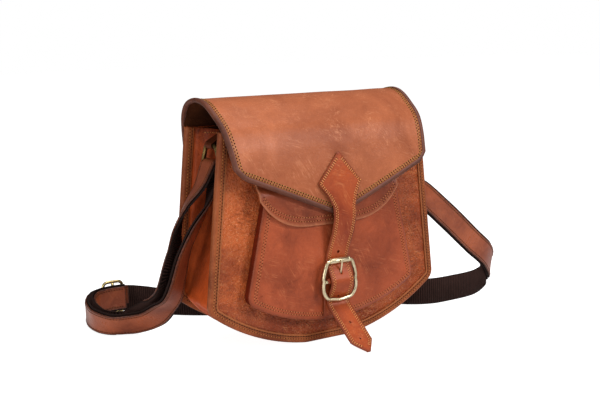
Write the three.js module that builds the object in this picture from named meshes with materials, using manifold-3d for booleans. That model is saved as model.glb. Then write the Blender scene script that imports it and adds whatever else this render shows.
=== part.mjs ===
// A leather crossbody bag: a flat U-shaped body with a gusset, a flap with a V hem, a front pocket,
// a buckled closure strap and a shoulder strap of leather on webbing.
// Millimetres, +Z up. The front faces -Y and the bag stands on z = 0.
import * as THREE from 'three';
import { mergeVertices } from 'three/addons/utils/BufferGeometryUtils.js';
import Module from 'manifold-3d';

// Gap kept between pieces that touch
const GAP = 0.3;
// Facets round a wire, a prong, a hole and a roller
const WIRE_SIDES = 8;
const PRONG_SIDES = 6;
const HOLE_SIDES = 10;
const ROLLER_SIDES = 14;

// Body: half-widths, heights and the arc of the bottom
const TOP_Z = 205;
const HALF_TOP = 110.7;
const CORNER_Z = 46;
const HALF_CORNER = 127;
const BOTTOM_RADIUS = 199;
const BOTTOM_FLAT = 1.5;
const CORNER_RADIUS = 13;
const BODY_DEPTH = 72;
const PANEL_T = 2.2;
const PANEL_INSET = 1.6;
const FRONT_BULGE = 2.5;
const BACK_BULGE = 4;
// Steps of the outline along the bottom's arc, the corner and the side, and columns across a panel
const BODY_STEPS = { arc: 8, fillet: 4, side: 6 };
const PANEL_COLUMNS = 8;
const LAST_ROW = 0.6;

// Gusset: its flanges stand outwards against the panels, and the wall lies recessed between them
const GUSSET_T = 1.8;
const FLANGE_DEPTH = 10;
const WALL_HALF = 29;
const BOW_POWER = 4;
const WALL_POINTS = [-WALL_HALF, -19, 0, 19, WALL_HALF];
// How far the middle of the wall bows out, from the bottom up to the mouth
const GUSSET_BOW = [
  { z: 0, bow: 14 },
  { z: 20, bow: 9 },
  { z: 45, bow: 4 },
  { z: 70, bow: -2 },
  { z: 105, bow: -9 },
  { z: 135, bow: -13 },
  { z: TOP_Z, bow: -13.5 },
];

// Binding folded over the panel and flange edges
const BINDING_T = 1.2;
const BINDING_LEG = 8.5;

// Flap: its two side edges and its profile, from the back seam over the top to the hem
const FLAP_T = 2;
const FLAP_ROWS = [
  { left: -109, right: 107, y: 39.2, z: 186 },
  { left: -110, right: 108, y: 39.3, z: 204 },
  { left: -111, right: 108.5, y: 36.2, z: 216.5 },
  { left: -112, right: 109, y: 27.5, z: 226 },
  { left: -112.4, right: 109.2, y: 15, z: 230.6 },
  { left: -112.4, right: 109, y: 1, z: 231.3 },
  { left: -112, right: 107.5, y: -13, z: 227.6 },
  { left: -111.4, right: 106, y: -27, z: 219 },
  { left: -110.4, right: 104.6, y: -40.6, z: 208 },
  { left: -108, right: 104, y: -47.4, z: 193 },
  { left: -105.4, right: 103.4, y: -51, z: 178 },
  { left: -103.4, right: 103.2, y: -53.2, z: 165 },
  { left: -103, right: 103, y: -55.4, z: 146 },
  { left: -103, right: 103, y: -56, z: 118 },
];
const FLAP_CORNER_Z = 168;
const FLAP_TIP_Z = 124;
const FLAP_CORNER_LIFT = 6;
const FLAP_CORNER_START = 0.9;
const FLAP_TIP_ROUND = 0.03;
const FLAP_FINE_STEPS = 20;
const FLAP_BINDING_T = 1;
const FLAP_BINDING_GAP = 0.95;
const FLAP_BINDING_LEG = 6.2;
const FLAP_BINDING_START_Z = 209;
const FLAP_COLUMNS = 16;
const FLAP_STEPS = 14;

// Front pocket
const POCKET_TOP_Z = 146;
const POCKET_CORNER_Z = 50;
const POCKET_BOTTOM_Z = 24.5;
const POCKET_HALF_TOP = 71;
const POCKET_HALF_CORNER = 92;
const POCKET_BOTTOM_RADIUS = 170;
const POCKET_CORNER_RADIUS = 9;
const POCKET_DEPTH = 8;
const POCKET_FLANGE = 7;
const POCKET_T = 1.4;
const POCKET_FRONT_T = 1.8;
const POCKET_RIM = 1.6;
const POCKET_RIM_WIDTH = 5;
const POCKET_BULGE = 1.2;
const POCKET_STEPS = { arc: 7, fillet: 3, side: 4 };
const POCKET_COLUMNS = 10;

// Crescent flap of the pocket
const POCKET_FLAP_T = 1.6;
const POCKET_FLAP_SHIFT = -5;
const POCKET_FLAP_HALF = 76;
const POCKET_FLAP_LOW_Z = 114.5;
const POCKET_FLAP_RISE = 30;
const POCKET_FLAP_COLUMNS = 14;
const POCKET_FLAP_STEPS = 6;
const POCKET_FLAP_ROWS = [
  { y: -38.2, z: 172 },
  { y: -38.8, z: 164 },
  { y: -45, z: 156 },
  { y: -50.2, z: 148.5 },
  { y: -51.2, z: 139 },
  { y: -51.4, z: 128 },
  { y: -51.4, z: POCKET_FLAP_LOW_Z - 4 },
];

// Closure strap: centre line and half-width, from the kite-shaped root to the pointed end
const CLOSURE_T = 2;
const CLOSURE_ROWS = [
  { x: 2, y: -53.2, z: 181, half: 0.7 },
  { x: 1, y: -55.6, z: 168, half: 12 },
  { x: 0.5, y: -57.6, z: 154.5, half: 24 },
  { x: 2, y: -59.3, z: 143, half: 16.5 },
  { x: 3.6, y: -60.2, z: 132, half: 12.2 },
  { x: 4, y: -60.4, z: 121, half: 12 },
  { x: 3, y: -58.2, z: 108, half: 12 },
  { x: 1.5, y: -54.6, z: 96, half: 12 },
  { x: 0.4, y: -52.3, z: 86, half: 12 },
  { x: 0, y: -52.6, z: 79, half: 12 },
  { x: 0, y: -57.6, z: 70, half: 12 },
  { x: 0, y: -61.3, z: 61.5, half: 12 },
  { x: 0, y: -58, z: 52.5, half: 12 },
  { x: 0, y: -53.2, z: 45, half: 12 },
  { x: 0.2, y: -54.2, z: 38, half: 12 },
  { x: 0.8, y: -61.5, z: 31, half: 12 },
  { x: 2.2, y: -73, z: 20.5, half: 12 },
  { x: 3.6, y: -85.5, z: 9.4, half: 11.8 },
  { x: 4.4, y: -96.5, z: 2.4, half: 1.2 },
];
const CLOSURE_HOLES = [7.75, 10, 12.85, 15.75, 16.85];
const HOLE_R = 1.7;
const PRONG_HOLE = 1;
const PRONG_HOLE_STRETCH = 2;
const FRAME_STEP = 0.02;

// Closure buckle: half of its outline, upwards positive, about the middle of its centre bar
const BUCKLE_Y = -56.2;
const BUCKLE_Z = 61.5;
const BUCKLE_WIRE_R = 1.75;
const BUCKLE_BAR_R = 1.55;
const BUCKLE_HALF = [
  { x: 0, z: 19 },
  { x: 11.5, z: 19 },
  { x: 14, z: 17.6 },
  { x: 16.4, z: 10 },
  { x: 18, z: 3.4 },
  { x: 17.2, z: 0 },
  { x: 18.2, z: -4 },
  { x: 17.6, z: -10.5 },
  { x: 13.5, z: -16.4 },
  { x: 0, z: -18.6 },
];
const ROLLER_R = 2.7;
const ROLLER_HALF = 11;
const PRONG_R = 1;
const PRONG_PLAY = 0.2;
// Degrees round the bar in the hook, and the tongue as shares of its rise and of its reach
const PRONG_HOOK = { from: -60, to: -270, steps: 6 };
const PRONG_TONGUE = [
  { out: 0.45, along: 0.35 },
  { out: 1, along: 0.87 },
  { out: 0.98, along: 1.15 },
];
const SLOT_HALF = 2;
const CHAPE_SLOT = 9;
const CHAPE_WRAP = { from: 0, to: 200, steps: 8 };
const CHAPE_T = 1.4;
const CHAPE_HALF = 14.5;
// Where the buckle's loop lies on the pocket: distance in from its outermost lie, and height
const CHAPE_SEAT = [
  { in: 1.3, z: 27 },
  { in: 0, z: 36 },
  { in: 0, z: 47 },
];

// Rings of the shoulder strap: centre of the lower bar on the right side, and half of the outline
const RING_X = 102;
const RING_Y = -2;
const RING_Z = 172;
const RING_WIRE_R = 2;
const RING_HALF = [
  { y: 0, z: 0 },
  { y: 14.5, z: 0 },
  { y: 16.8, z: 2.2 },
  { y: 13.4, z: 10 },
  { y: 10, z: 17.6 },
  { y: 7.6, z: 19.2 },
  { y: 0, z: 19.2 },
];
const RING_TAB_HALF = 6.2;
const RING_TAB_T = 1.4;
const RING_TAB_TOP_Z = 203;
const RING_TAB_WRAP = { from: 180, to: 420, steps: 8 };
// Heights above the ring's top bar where the tab leaves the wall and where its end meets it again
const RING_TAB_BEND = 6;
const RING_TAB_RETURN = 9;

// Shoulder strap: two layers, webbing inside and leather outside
const STRAP_LEATHER_T = 1.75;
const STRAP_LEATHER_HALF = 12;
const STRAP_WEBBING_T = 1.4;
const STRAP_WEBBING_HALF = 14;
const STRAP_FOLD_R = 4.3;
const STRAP_SEAM = 0.45;
const STRAP_FOLD = { from: 180, to: 0, steps: 3 };
// Short end folded back behind the right ring: distance in from the bar and below it
const STRAP_SHORT_END = [
  { in: 2.2, below: 34 },
  { in: 2.6, below: 17 },
];
// Greatest length, bend and twist from one station of the strap to the next
const STRAP_STEP = 27;
const STRAP_BEND = 20;
const STRAP_TWIST = 8;
// Route of the strap's middle, with the direction in which its edge points: from the right ring to the
// floor, behind the bag, round the loop on the left and up to the left ring
const ROUTE_RIGHT_TO_LEFT = [
  { x: 108, y: -2, z: 157, edge: [0.1, 0.98, 0.1] },
  { x: 120, y: -1, z: 141, edge: [0.4, 0.7, 0.5] },
  { x: 149, y: 0, z: 117, edge: [0.66, 0.1, 0.74] },
  { x: 187, y: 3, z: 86, edge: [0.69, 0, 0.72] },
  { x: 218, y: 5.8, z: 59.7, edge: [0.64, 0, 0.76] },
  { x: 239, y: 8.7, z: 43.4, edge: [0.5, 0.05, 0.86] },
  { x: 253, y: 17.7, z: 31.4, edge: [0.3, 0, 0.95] },
  { x: 262.2, y: 27.4, z: 22.2, edge: [0.12, 0, 1] },
  { x: 270, y: 39, z: 16.5, edge: [0.03, 0, 1] },
  { x: 272.5, y: 47, z: 14.5, edge: [0, 0, 1] },
  { x: 268.5, y: 52, z: 14, edge: [0, 0, 1] },
  { x: 263.5, y: 46, z: 14, edge: [0, 0, 1] },
  { x: 259, y: 33.5, z: 14, edge: [0, 0, 1] },
  { x: 247, y: 21.5, z: 14, edge: [0, 0, 1] },
  { x: 216, y: 4, z: 14, edge: [0, 0, 1] },
  { x: 182, y: 0.3, z: 14, edge: [0, 0, 1] },
  { x: 156, y: 2, z: 14, edge: [0, 0, 1] },
  { x: 134, y: 14, z: 14, edge: [0, 0, 1] },
  { x: 114, y: 38, z: 14, edge: [0, 0, 1] },
  { x: 90, y: 56, z: 14, edge: [0, 0, 1] },
  { x: 50, y: 68, z: 14, edge: [0, 0, 1] },
  { x: 0, y: 76, z: 14, edge: [0, 0, 1] },
  { x: -50, y: 94, z: 14, edge: [0, 0, 1] },
  { x: -92, y: 126, z: 14, edge: [0, 0, 1] },
  { x: -108, y: 151, z: 14, edge: [0, 0, 1] },
  { x: -121, y: 166, z: 14, edge: [0, 0, 1] },
  { x: -136, y: 172, z: 14, edge: [0, 0, 1] },
  { x: -150, y: 171, z: 14, edge: [0, 0, 1] },
  { x: -164, y: 162.5, z: 14, edge: [0, 0, 1] },
  { x: -174, y: 146, z: 14, edge: [0, 0, 1] },
  { x: -180, y: 126, z: 14, edge: [-0.05, 0, 1] },
  { x: -181, y: 102, z: 13, edge: [-0.2, -0.15, 0.97] },
  { x: -172, y: 83, z: 13.3, edge: [-0.2, -0.42, 0.88] },
  { x: -155, y: 75, z: 13.4, edge: [-0.2, -0.42, 0.88] },
  { x: -142, y: 59.5, z: 20, edge: [-0.45, -0.4, 0.8] },
  { x: -139, y: 35, z: 36, edge: [-0.75, -0.35, 0.5] },
  { x: -138, y: 14.5, z: 52, edge: [-0.88, -0.4, 0.1] },
  { x: -136.5, y: 5, z: 70, edge: [-0.86, -0.49, -0.1] },
  { x: -132, y: -1, z: 95, edge: [-0.75, -0.6, -0.05] },
  { x: -121.5, y: -4.5, z: 118, edge: [-0.55, -0.75, 0.3] },
  { x: -109, y: -7, z: 140, edge: [-0.4, -0.9, 0.1] },
  { x: -100.5, y: -4, z: 158, edge: [-0.1, -0.99, 0] },
];
// From the left ring back down into the loop, to the end in front of the strap's buckle
const ROUTE_TAIL = [
  { x: -113, y: -1, z: 157, edge: [-0.1, -0.98, 0.1] },
  { x: -124, y: 8, z: 136, edge: [-0.3, -0.93, 0.2] },
  { x: -132, y: 13, z: 114, edge: [-0.55, -0.75, 0.1] },
  { x: -134.5, y: 16, z: 93.7, edge: [-0.75, -0.6, -0.1] },
  { x: -143, y: 16, z: 68, edge: [-0.85, -0.5, -0.2] },
  { x: -141, y: 33.5, z: 49, edge: [-0.82, -0.42, 0.25] },
  { x: -141.5, y: 57, z: 31, edge: [-0.5, -0.38, 0.78] },
  { x: -152, y: 80.5, z: 16.5, edge: [-0.25, -0.42, 0.87] },
  { x: -164, y: 88, z: 14.5, edge: [-0.2, -0.42, 0.88] },
  { x: -171.5, y: 98, z: 13.8, edge: [-0.2, -0.2, 0.9] },
  { x: -173.5, y: 111, z: 14, edge: [-0.1, -0.05, 1] },
  { x: -172.5, y: 128, z: 14.5, edge: [0, 0, 1] },
  { x: -168, y: 143, z: 16, edge: [0, 0, 1] },
  { x: -159, y: 153.2, z: 17.8, edge: [0, 0, 1] },
  { x: -148, y: 155.3, z: 18.4, edge: [0, 0, 1] },
  { x: -129, y: 155.3, z: 18.4, edge: [0, 0, 1] },
];

// Buckle of the shoulder strap, about the middle of its centre bar
const STRAP_BUCKLE_X = -140.5;
const STRAP_BUCKLE_Y = 161.2;
const STRAP_BUCKLE_Z = 18.4;
const STRAP_BUCKLE_WIRE_R = 1.6;
const STRAP_BUCKLE_BAR_R = 1.45;
const STRAP_BUCKLE_HALF = [
  { x: 0, z: 16.6 },
  { x: 7.6, z: 16.6 },
  { x: 10.6, z: 13.6 },
  { x: 10.6, z: 0 },
];

// Where the loop that holds this buckle lies on the webbing
const STRAP_CHAPE_SEAT = [
  { x: -122.6, y: 163.8 },
  { x: -129.9, y: 167.5 },
];
const STRAP_CHAPE_HALF = 10;
const STRAP_CHAPE_WRAP = { from: 70, to: 259, steps: 7 };

const wasm = await Module();
wasm.setup();

const vec = (x, y, z) => new THREE.Vector3(x, y, z);
const lerp = THREE.MathUtils.lerp;

// Angles, in radians, from one to another in equal steps
function turns({ from, to, steps }) {
  return Array.from({ length: steps + 1 }, (_, i) => THREE.MathUtils.degToRad(lerp(from, to, i / steps)));
}

// Closed body from triangles on shared points, turned so that its faces point out
function solid(points, triangles) {
  let volume = 0;
  for (const [a, b, c] of triangles) {
    volume += points[a].dot(points[b].clone().cross(points[c]));
  }
  const index = triangles.flatMap(([a, b, c]) => (volume > 0 ? [a, b, c] : [a, c, b]));
  const geometry = new THREE.BufferGeometry();
  const numbers = points.flatMap((p) => p.toArray());
  geometry.setAttribute('position', new THREE.Float32BufferAttribute(numbers, 3));
  geometry.setIndex(index);
  geometry.computeVertexNormals();
  return geometry;
}

// Triangles that fill a ring of points, found in the plane of the ring
function fillRing(ring) {
  const normal = vec(0, 0, 0);
  ring.forEach((p, i) => normal.add(p.clone().cross(ring[(i + 1) % ring.length])));
  normal.normalize();
  const across = Math.abs(normal.x) < 0.8 ? vec(1, 0, 0) : vec(0, 1, 0);
  across.addScaledVector(normal, -across.dot(normal)).normalize();
  const along = normal.clone().cross(across);
  const flat = ring.map((p) => new THREE.Vector2(p.dot(across), p.dot(along)));
  return THREE.ShapeUtils.triangulateShape(flat, []);
}

// Triangles that fill a ring round a thin sheet, straight across from its near face to its far one
function fillSheet(ring) {
  const triangles = [];
  const end = ring.length - 1;
  for (let i = 0; i < ring.length / 2 - 1; i += 1) {
    triangles.push([i, i + 1, end - i - 1], [i, end - i - 1, end - i]);
  }
  return triangles;
}

// Skin through a row of rings that all have the same number of points, with a filled ring at each end;
// with no fill the last ring joins the first
function loft(rings, fill) {
  const closed = !fill;
  const size = rings[0].length;
  const points = rings.flat();
  const triangles = [];
  const last = closed ? rings.length : rings.length - 1;
  for (let k = 0; k < last; k += 1) {
    const next = (k + 1) % rings.length;
    for (let i = 0; i < size; i += 1) {
      const j = (i + 1) % size;
      const [a, b, c, d] = [k * size + i, k * size + j, next * size + j, next * size + i];
      // The second half of a ring is the far face of a sheet, split along the same diagonal as the near one
      triangles.push(...(i < size / 2 ? [[a, b, c], [a, c, d]] : [[a, b, d], [b, c, d]]));
    }
  }
  if (!closed) {
    const end = (rings.length - 1) * size;
    fill(rings[0]).forEach(([a, b, c]) => triangles.push([a, c, b]));
    fill(rings[rings.length - 1]).forEach(([a, b, c]) => triangles.push([end + a, end + b, end + c]));
  }
  return solid(points, triangles);
}

// Closed outline of a strip of the given thickness along an open line of [a, b] pairs, with mitred bends
function thicken(line, thickness) {
  const sides = [[], []];
  line.forEach(([a, b], i) => {
    const before = line[Math.max(i - 1, 0)];
    const after = line[Math.min(i + 1, line.length - 1)];
    const one = new THREE.Vector2(a - before[0], b - before[1]).normalize();
    const two = new THREE.Vector2(after[0] - a, after[1] - b).normalize();
    if (i === 0) one.copy(two);
    if (i === line.length - 1) two.copy(one);
    const normal = new THREE.Vector2(-one.y - two.y, one.x + two.x).normalize();
    const reach = thickness / 2 / Math.max(normal.dot(new THREE.Vector2(-one.y, one.x)), 0.5);
    sides[0].push([a + normal.x * reach, b + normal.y * reach]);
    sides[1].unshift([a - normal.x * reach, b - normal.y * reach]);
  });
  return [...sides[0], ...sides[1]];
}

// Smooth curve through the named columns of a table; at(row) gives the columns at a fractional row
function tableCurve(rows, columns) {
  const curves = columns.map((name) => (
    new THREE.CatmullRomCurve3(rows.map((row) => vec(row[name], 0, 0)), false, 'catmullrom', 0.5)));
  return (row) => Object.fromEntries(
    columns.map((name, c) => [name, curves[c].getPoint(row / (rows.length - 1)).x]));
}

// Straight-line reading of one column of a table against another
function readTable(rows, key, column, value) {
  const next = rows.findIndex((row) => row[key] >= value);
  if (next < 0) return rows[rows.length - 1][column];
  if (next === 0) return rows[0][column];
  const share = (value - rows[next - 1][key]) / (rows[next][key] - rows[next - 1][key]);
  return lerp(rows[next - 1][column], rows[next][column], share);
}

// Direction of an open path at one of its points
function directionAt(path, i) {
  return path[Math.min(i + 1, path.length - 1)].clone().sub(path[Math.max(i - 1, 0)]).normalize();
}

// Round section of a wire or pin
function roundSection(radius, sides) {
  return Array.from({ length: sides }, (_, i) => {
    const angle = (i / sides) * Math.PI * 2;
    return [radius * Math.cos(angle), radius * Math.sin(angle)];
  });
}

// Wire along a path of points that all lie near one plane with the given normal
function wire(path, planeNormal, radius, sides, closed) {
  const section = roundSection(radius, sides);
  const rings = path.map((p, i) => {
    const before = path[closed ? (i + path.length - 1) % path.length : Math.max(i - 1, 0)];
    const after = path[closed ? (i + 1) % path.length : Math.min(i + 1, path.length - 1)];
    const tangent = after.clone().sub(before).normalize();
    const side = planeNormal.clone().cross(tangent).normalize();
    const rise = tangent.clone().cross(side);
    return section.map(([a, b]) => p.clone().addScaledVector(side, a).addScaledVector(rise, b));
  });
  return loft(rings, closed ? null : fillRing);
}

// Band of leather along a path, with its width along one fixed direction
function band(path, width, half, thickness) {
  const rings = path.map((p, i) => {
    const tangent = directionAt(path, i);
    const normal = width.clone().cross(tangent).normalize().multiplyScalar(thickness / 2);
    return [[1, 1], [1, -1], [-1, -1], [-1, 1]].map(([a, b]) => (
      p.clone().addScaledVector(width, a * half).addScaledVector(normal, b)));
  });
  return loft(rings, fillSheet);
}

function toManifold(geometry) {
  const bare = geometry.clone();
  bare.deleteAttribute('normal');
  bare.deleteAttribute('uv');
  const welded = mergeVertices(bare, 1e-4);
  return new wasm.Manifold(new wasm.Mesh({
    numProp: 3,
    vertProperties: new Float32Array(welded.attributes.position.array),
    triVerts: new Uint32Array(welded.index.array),
  }));
}

function fromManifold(body) {
  const mesh = body.getMesh();
  const geometry = new THREE.BufferGeometry();
  geometry.setAttribute('position', new THREE.BufferAttribute(new Float32Array(mesh.vertProperties), 3));
  geometry.setIndex(new THREE.BufferAttribute(new Uint32Array(mesh.triVerts), 1));
  geometry.computeVertexNormals();
  return geometry;
}

const cut = (geometry, tools) => fromManifold(
  tools.reduce((body, tool) => body.subtract(toManifold(tool)), toManifold(geometry)));
const join = (geometry, other) => fromManifold(toManifold(geometry).add(toManifold(other)));

// Right half of a U outline, from the middle of the bottom up one side: points with outward normals.
// The bottom is an arc that may be pressed flat on the floor, and a fillet joins it to the side.
function halfOutline(shape) {
  const { radius, lowZ, halfCorner, cornerZ, halfTop, topZ, fillet, steps } = shape;
  const arcZ = lowZ + radius;
  const side = new THREE.Vector2(halfTop - halfCorner, topZ - cornerZ).normalize();
  const out = new THREE.Vector2(side.y, -side.x);
  const start = new THREE.Vector2(halfCorner, cornerZ).addScaledVector(out, -fillet);
  const rel = start.clone().sub(new THREE.Vector2(0, arcZ));
  const reach = rel.dot(side);
  const along = -reach - Math.sqrt(reach * reach - rel.lengthSq() + (radius - fillet) ** 2);
  const centre = start.clone().addScaledVector(side, along);
  const turnArc = Math.atan2(centre.x, arcZ - centre.y);
  const turnSide = Math.atan2(out.x, -out.y);
  const stations = [];
  for (let i = 0; i <= steps.arc; i += 1) {
    const turn = (turnArc * i) / steps.arc;
    const z = arcZ - radius * Math.cos(turn);
    const x = radius * Math.sin(turn);
    stations.push(z < 0 ? { x, z: 0, nx: 0, nz: -1 } : { x, z, nx: Math.sin(turn), nz: -Math.cos(turn) });
  }
  for (let i = 1; i <= steps.fillet; i += 1) {
    const turn = lerp(turnArc, turnSide, i / steps.fillet);
    stations.push({
      x: centre.x + fillet * Math.sin(turn), z: centre.y - fillet * Math.cos(turn),
      nx: Math.sin(turn), nz: -Math.cos(turn),
    });
  }
  const first = stations[stations.length - 1];
  const length = (topZ - first.z) / side.y;
  for (let i = 1; i <= steps.side; i += 1) {
    const go = (length * i) / steps.side;
    stations.push({ x: first.x + side.x * go, z: first.z + side.y * go, nx: out.x, nz: out.y });
  }
  return stations;
}

// Whole U from the left top, round the bottom, to the right top
function wholeOutline(half) {
  const left = half.slice(1).reverse().map((s) => ({ ...s, x: -s.x, nx: -s.nx }));
  return [...left, ...half];
}

const BODY_HALF = halfOutline({
  radius: BOTTOM_RADIUS, lowZ: -BOTTOM_FLAT, halfCorner: HALF_CORNER, cornerZ: CORNER_Z,
  halfTop: HALF_TOP, topZ: TOP_Z, fillet: CORNER_RADIUS, steps: BODY_STEPS,
});
const BODY_OUTLINE = wholeOutline(BODY_HALF);
const POCKET_HALF_OUTLINE = halfOutline({
  radius: POCKET_BOTTOM_RADIUS, lowZ: POCKET_BOTTOM_Z,
  halfCorner: POCKET_HALF_CORNER, cornerZ: POCKET_CORNER_Z, halfTop: POCKET_HALF_TOP, topZ: POCKET_TOP_Z,
  fillet: POCKET_CORNER_RADIUS, steps: POCKET_STEPS,
});

// Soft dome that is level at the rim of a panel
function dome(x, half, z, lowZ, highZ) {
  const across = 1 - Math.min(1, Math.abs(x) / half) ** 2;
  const up = 1 - ((2 * z - lowZ - highZ) / (highZ - lowZ)) ** 2;
  return across ** 2 * up ** 2;
}

// Half-width of the body at a height, for places on the panels
const bodyHalfAt = (z) => readTable(BODY_HALF.map((s) => ({ z: s.z + s.x * 1e-6, x: s.x })), 'z', 'x', z);

// Outer face of the front panel
function frontFace(x, z) {
  return -BODY_DEPTH / 2 - FRONT_BULGE * dome(x, bodyHalfAt(z), z, 0, TOP_Z);
}

// Panel inside a U outline, in rows from the top to the bottom; depth(x, z, half) is its middle surface
function panel(half, inset, thickness, columns, depth) {
  const rows = half.map((s) => ({ x: s.x - s.nx * inset, z: s.z - s.nz * inset })).reverse();
  const lowest = rows[rows.length - 1].z;
  const end = rows.findIndex((row) => row.z - lowest < LAST_ROW);
  const rings = rows.slice(0, end + 1).map((row) => {
    const line = Array.from({ length: columns + 1 }, (_, i) => {
      const x = lerp(-row.x, row.x, i / columns);
      return [x, depth(x, row.z, row.x)];
    });
    return thicken(line, thickness).map(([x, y]) => vec(x, y, row.z));
  });
  return loft(rings, fillSheet);
}

const frontPanel = () => panel(
  BODY_HALF, PANEL_INSET, PANEL_T, PANEL_COLUMNS, (x, z) => frontFace(x, z) + PANEL_T / 2);

function backPanel() {
  const middle = BODY_DEPTH / 2 - PANEL_T / 2;
  const depth = (x, z, half) => middle + BACK_BULGE * dome(x, half, z, 0, TOP_Z);
  return panel(BODY_HALF, PANEL_INSET, PANEL_T, PANEL_COLUMNS, depth);
}

// Section swept round the body outline; each [y, out] pair is a depth and a reach along the outward normal
function roundBody(sectionAt, fill) {
  return loft(BODY_OUTLINE.map((s) => sectionAt(s).map(
    ([y, out]) => vec(s.x + s.nx * out, y, s.z + s.nz * out))), fill);
}

const FLANGE_Y = BODY_DEPTH / 2 - PANEL_T - GAP - GUSSET_T / 2;

// Reach of the gusset wall's middle surface at a station of the outline, kept above the floor
function wallReach(station, y) {
  const bow = readTable(GUSSET_BOW, 'z', 'bow', station.z);
  const reach = -FLANGE_DEPTH + bow * (1 - (y / WALL_HALF) ** BOW_POWER);
  const onFloor = (station.z - GUSSET_T / 2) / -station.nz;
  return station.nz < -0.05 ? Math.min(reach, onFloor) : reach;
}

function gusset() {
  return roundBody((s) => {
    const wall = WALL_POINTS.map((y) => [y, wallReach(s, y)]);
    const line = [
      [-FLANGE_Y, -PANEL_INSET], [-FLANGE_Y, -FLANGE_DEPTH], ...wall,
      [FLANGE_Y, -FLANGE_DEPTH], [FLANGE_Y, -PANEL_INSET],
    ];
    return thicken(line, GUSSET_T);
  }, fillSheet);
}

// Binding folded over one panel's edge; side is -1 at the front and 1 at the back
function bodyBinding(side) {
  const outer = BODY_DEPTH / 2 + GAP + BINDING_T;
  const inner = FLANGE_Y - GUSSET_T / 2 - GAP - BINDING_T;
  const section = [
    [outer, -BINDING_LEG], [outer, -BINDING_T / 2], [outer - BINDING_T / 2, 0], [inner, 0],
    [inner, -BINDING_LEG], [inner + BINDING_T, -BINDING_LEG],
    [inner + BINDING_T, -BINDING_T], [outer - BINDING_T, -BINDING_T], [outer - BINDING_T, -BINDING_LEG],
  ];
  return roundBody(() => section.map(([y, out]) => [side * y, out]), fillRing);
}

// Flap: length along its profile is measured on a fine polyline of the table's curve
const flapAt = tableCurve(FLAP_ROWS, ['left', 'right', 'y', 'z']);
const FLAP_FINE = [];
for (let i = 0; i <= FLAP_FINE_STEPS * (FLAP_ROWS.length - 1); i += 1) {
  const found = flapAt(i / FLAP_FINE_STEPS);
  const before = FLAP_FINE[FLAP_FINE.length - 1];
  const length = before ? before.length + Math.hypot(found.y - before.y, found.z - before.z) : 0;
  FLAP_FINE.push({ ...found, length });
}
const FLAP_APEX = FLAP_FINE.reduce((best, p) => (p.z > best.z ? p : best));
const FLAP_FRONT = FLAP_FINE.filter((p) => p.length >= FLAP_APEX.length).map((p) => ({ ...p, drop: -p.z }));

// Height of the V hem; u runs from -1 at the left edge to 1 at the right edge
function hemZ(u) {
  const side = Math.abs(u);
  const lift = FLAP_CORNER_LIFT * Math.max(0, (side - FLAP_CORNER_START) / (1 - FLAP_CORNER_START)) ** 2;
  return lerp(FLAP_TIP_Z, FLAP_CORNER_Z, Math.hypot(side, FLAP_TIP_ROUND)) + lift;
}

// Point of the flap's middle surface; v runs from 0 at the back seam to 1 at the hem
function flapPoint(u, v) {
  const length = v * readTable(FLAP_FRONT, 'drop', 'length', -hemZ(u));
  const read = (key) => readTable(FLAP_FINE, 'length', key, length);
  return vec(lerp(read('left'), read('right'), (u + 1) / 2), read('y'), read('z'));
}

function flap() {
  const rings = Array.from({ length: FLAP_COLUMNS + 1 }, (_, i) => {
    const u = lerp(-1, 1, i / FLAP_COLUMNS);
    const points = Array.from({ length: FLAP_STEPS + 1 }, (_unused, j) => flapPoint(u, j / FLAP_STEPS));
    const outline = thicken(points.map((p) => [p.y, p.z]), FLAP_T);
    return outline.map(([y, z], k) => vec(points[Math.min(k, 2 * FLAP_STEPS + 1 - k)].x, y, z));
  });
  return loft(rings, fillSheet);
}

// Binding folded over the flap's free edge: up one side, round the V hem and back up the other side
function flapBinding() {
  const startLength = FLAP_FINE.find((p) => p.z > FLAP_BINDING_START_Z).length;
  const sideHem = readTable(FLAP_FRONT, 'drop', 'length', -hemZ(1));
  const first = Math.ceil((FLAP_STEPS * startLength) / sideHem);
  const path = [];
  for (let j = first; j < FLAP_STEPS; j += 1) path.push([-1, j / FLAP_STEPS]);
  for (let i = 0; i <= FLAP_COLUMNS; i += 1) path.push([lerp(-1, 1, i / FLAP_COLUMNS), 1]);
  for (let j = FLAP_STEPS - 1; j >= first; j -= 1) path.push([1, j / FLAP_STEPS]);
  const points = path.map(([u, v]) => flapPoint(u, v));
  const half = FLAP_T / 2 + FLAP_BINDING_GAP + FLAP_BINDING_T;
  const inside = half - FLAP_BINDING_T;
  const edge = -GAP - FLAP_BINDING_T;
  const section = [
    [FLAP_BINDING_LEG, half], [edge, half], [edge, -half], [FLAP_BINDING_LEG, -half],
    [FLAP_BINDING_LEG, -inside], [-GAP, -inside], [-GAP, inside], [FLAP_BINDING_LEG, inside],
  ];
  const step = 1 / FLAP_STEPS;
  const rings = path.map(([u, v], i) => {
    const tangent = directionAt(points, i);
    const down = flapPoint(u, Math.min(v + step, 1)).sub(flapPoint(u, v - step));
    const across = flapPoint(Math.min(u + step, 1), v).sub(flapPoint(Math.max(u - step, -1), v));
    const normal = across.cross(down).normalize();
    const inward = tangent.clone().cross(normal).normalize();
    return section.map(
      ([a, b]) => points[i].clone().addScaledVector(inward, a).addScaledVector(normal, -b));
  });
  return loft(rings, fillRing);
}

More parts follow.
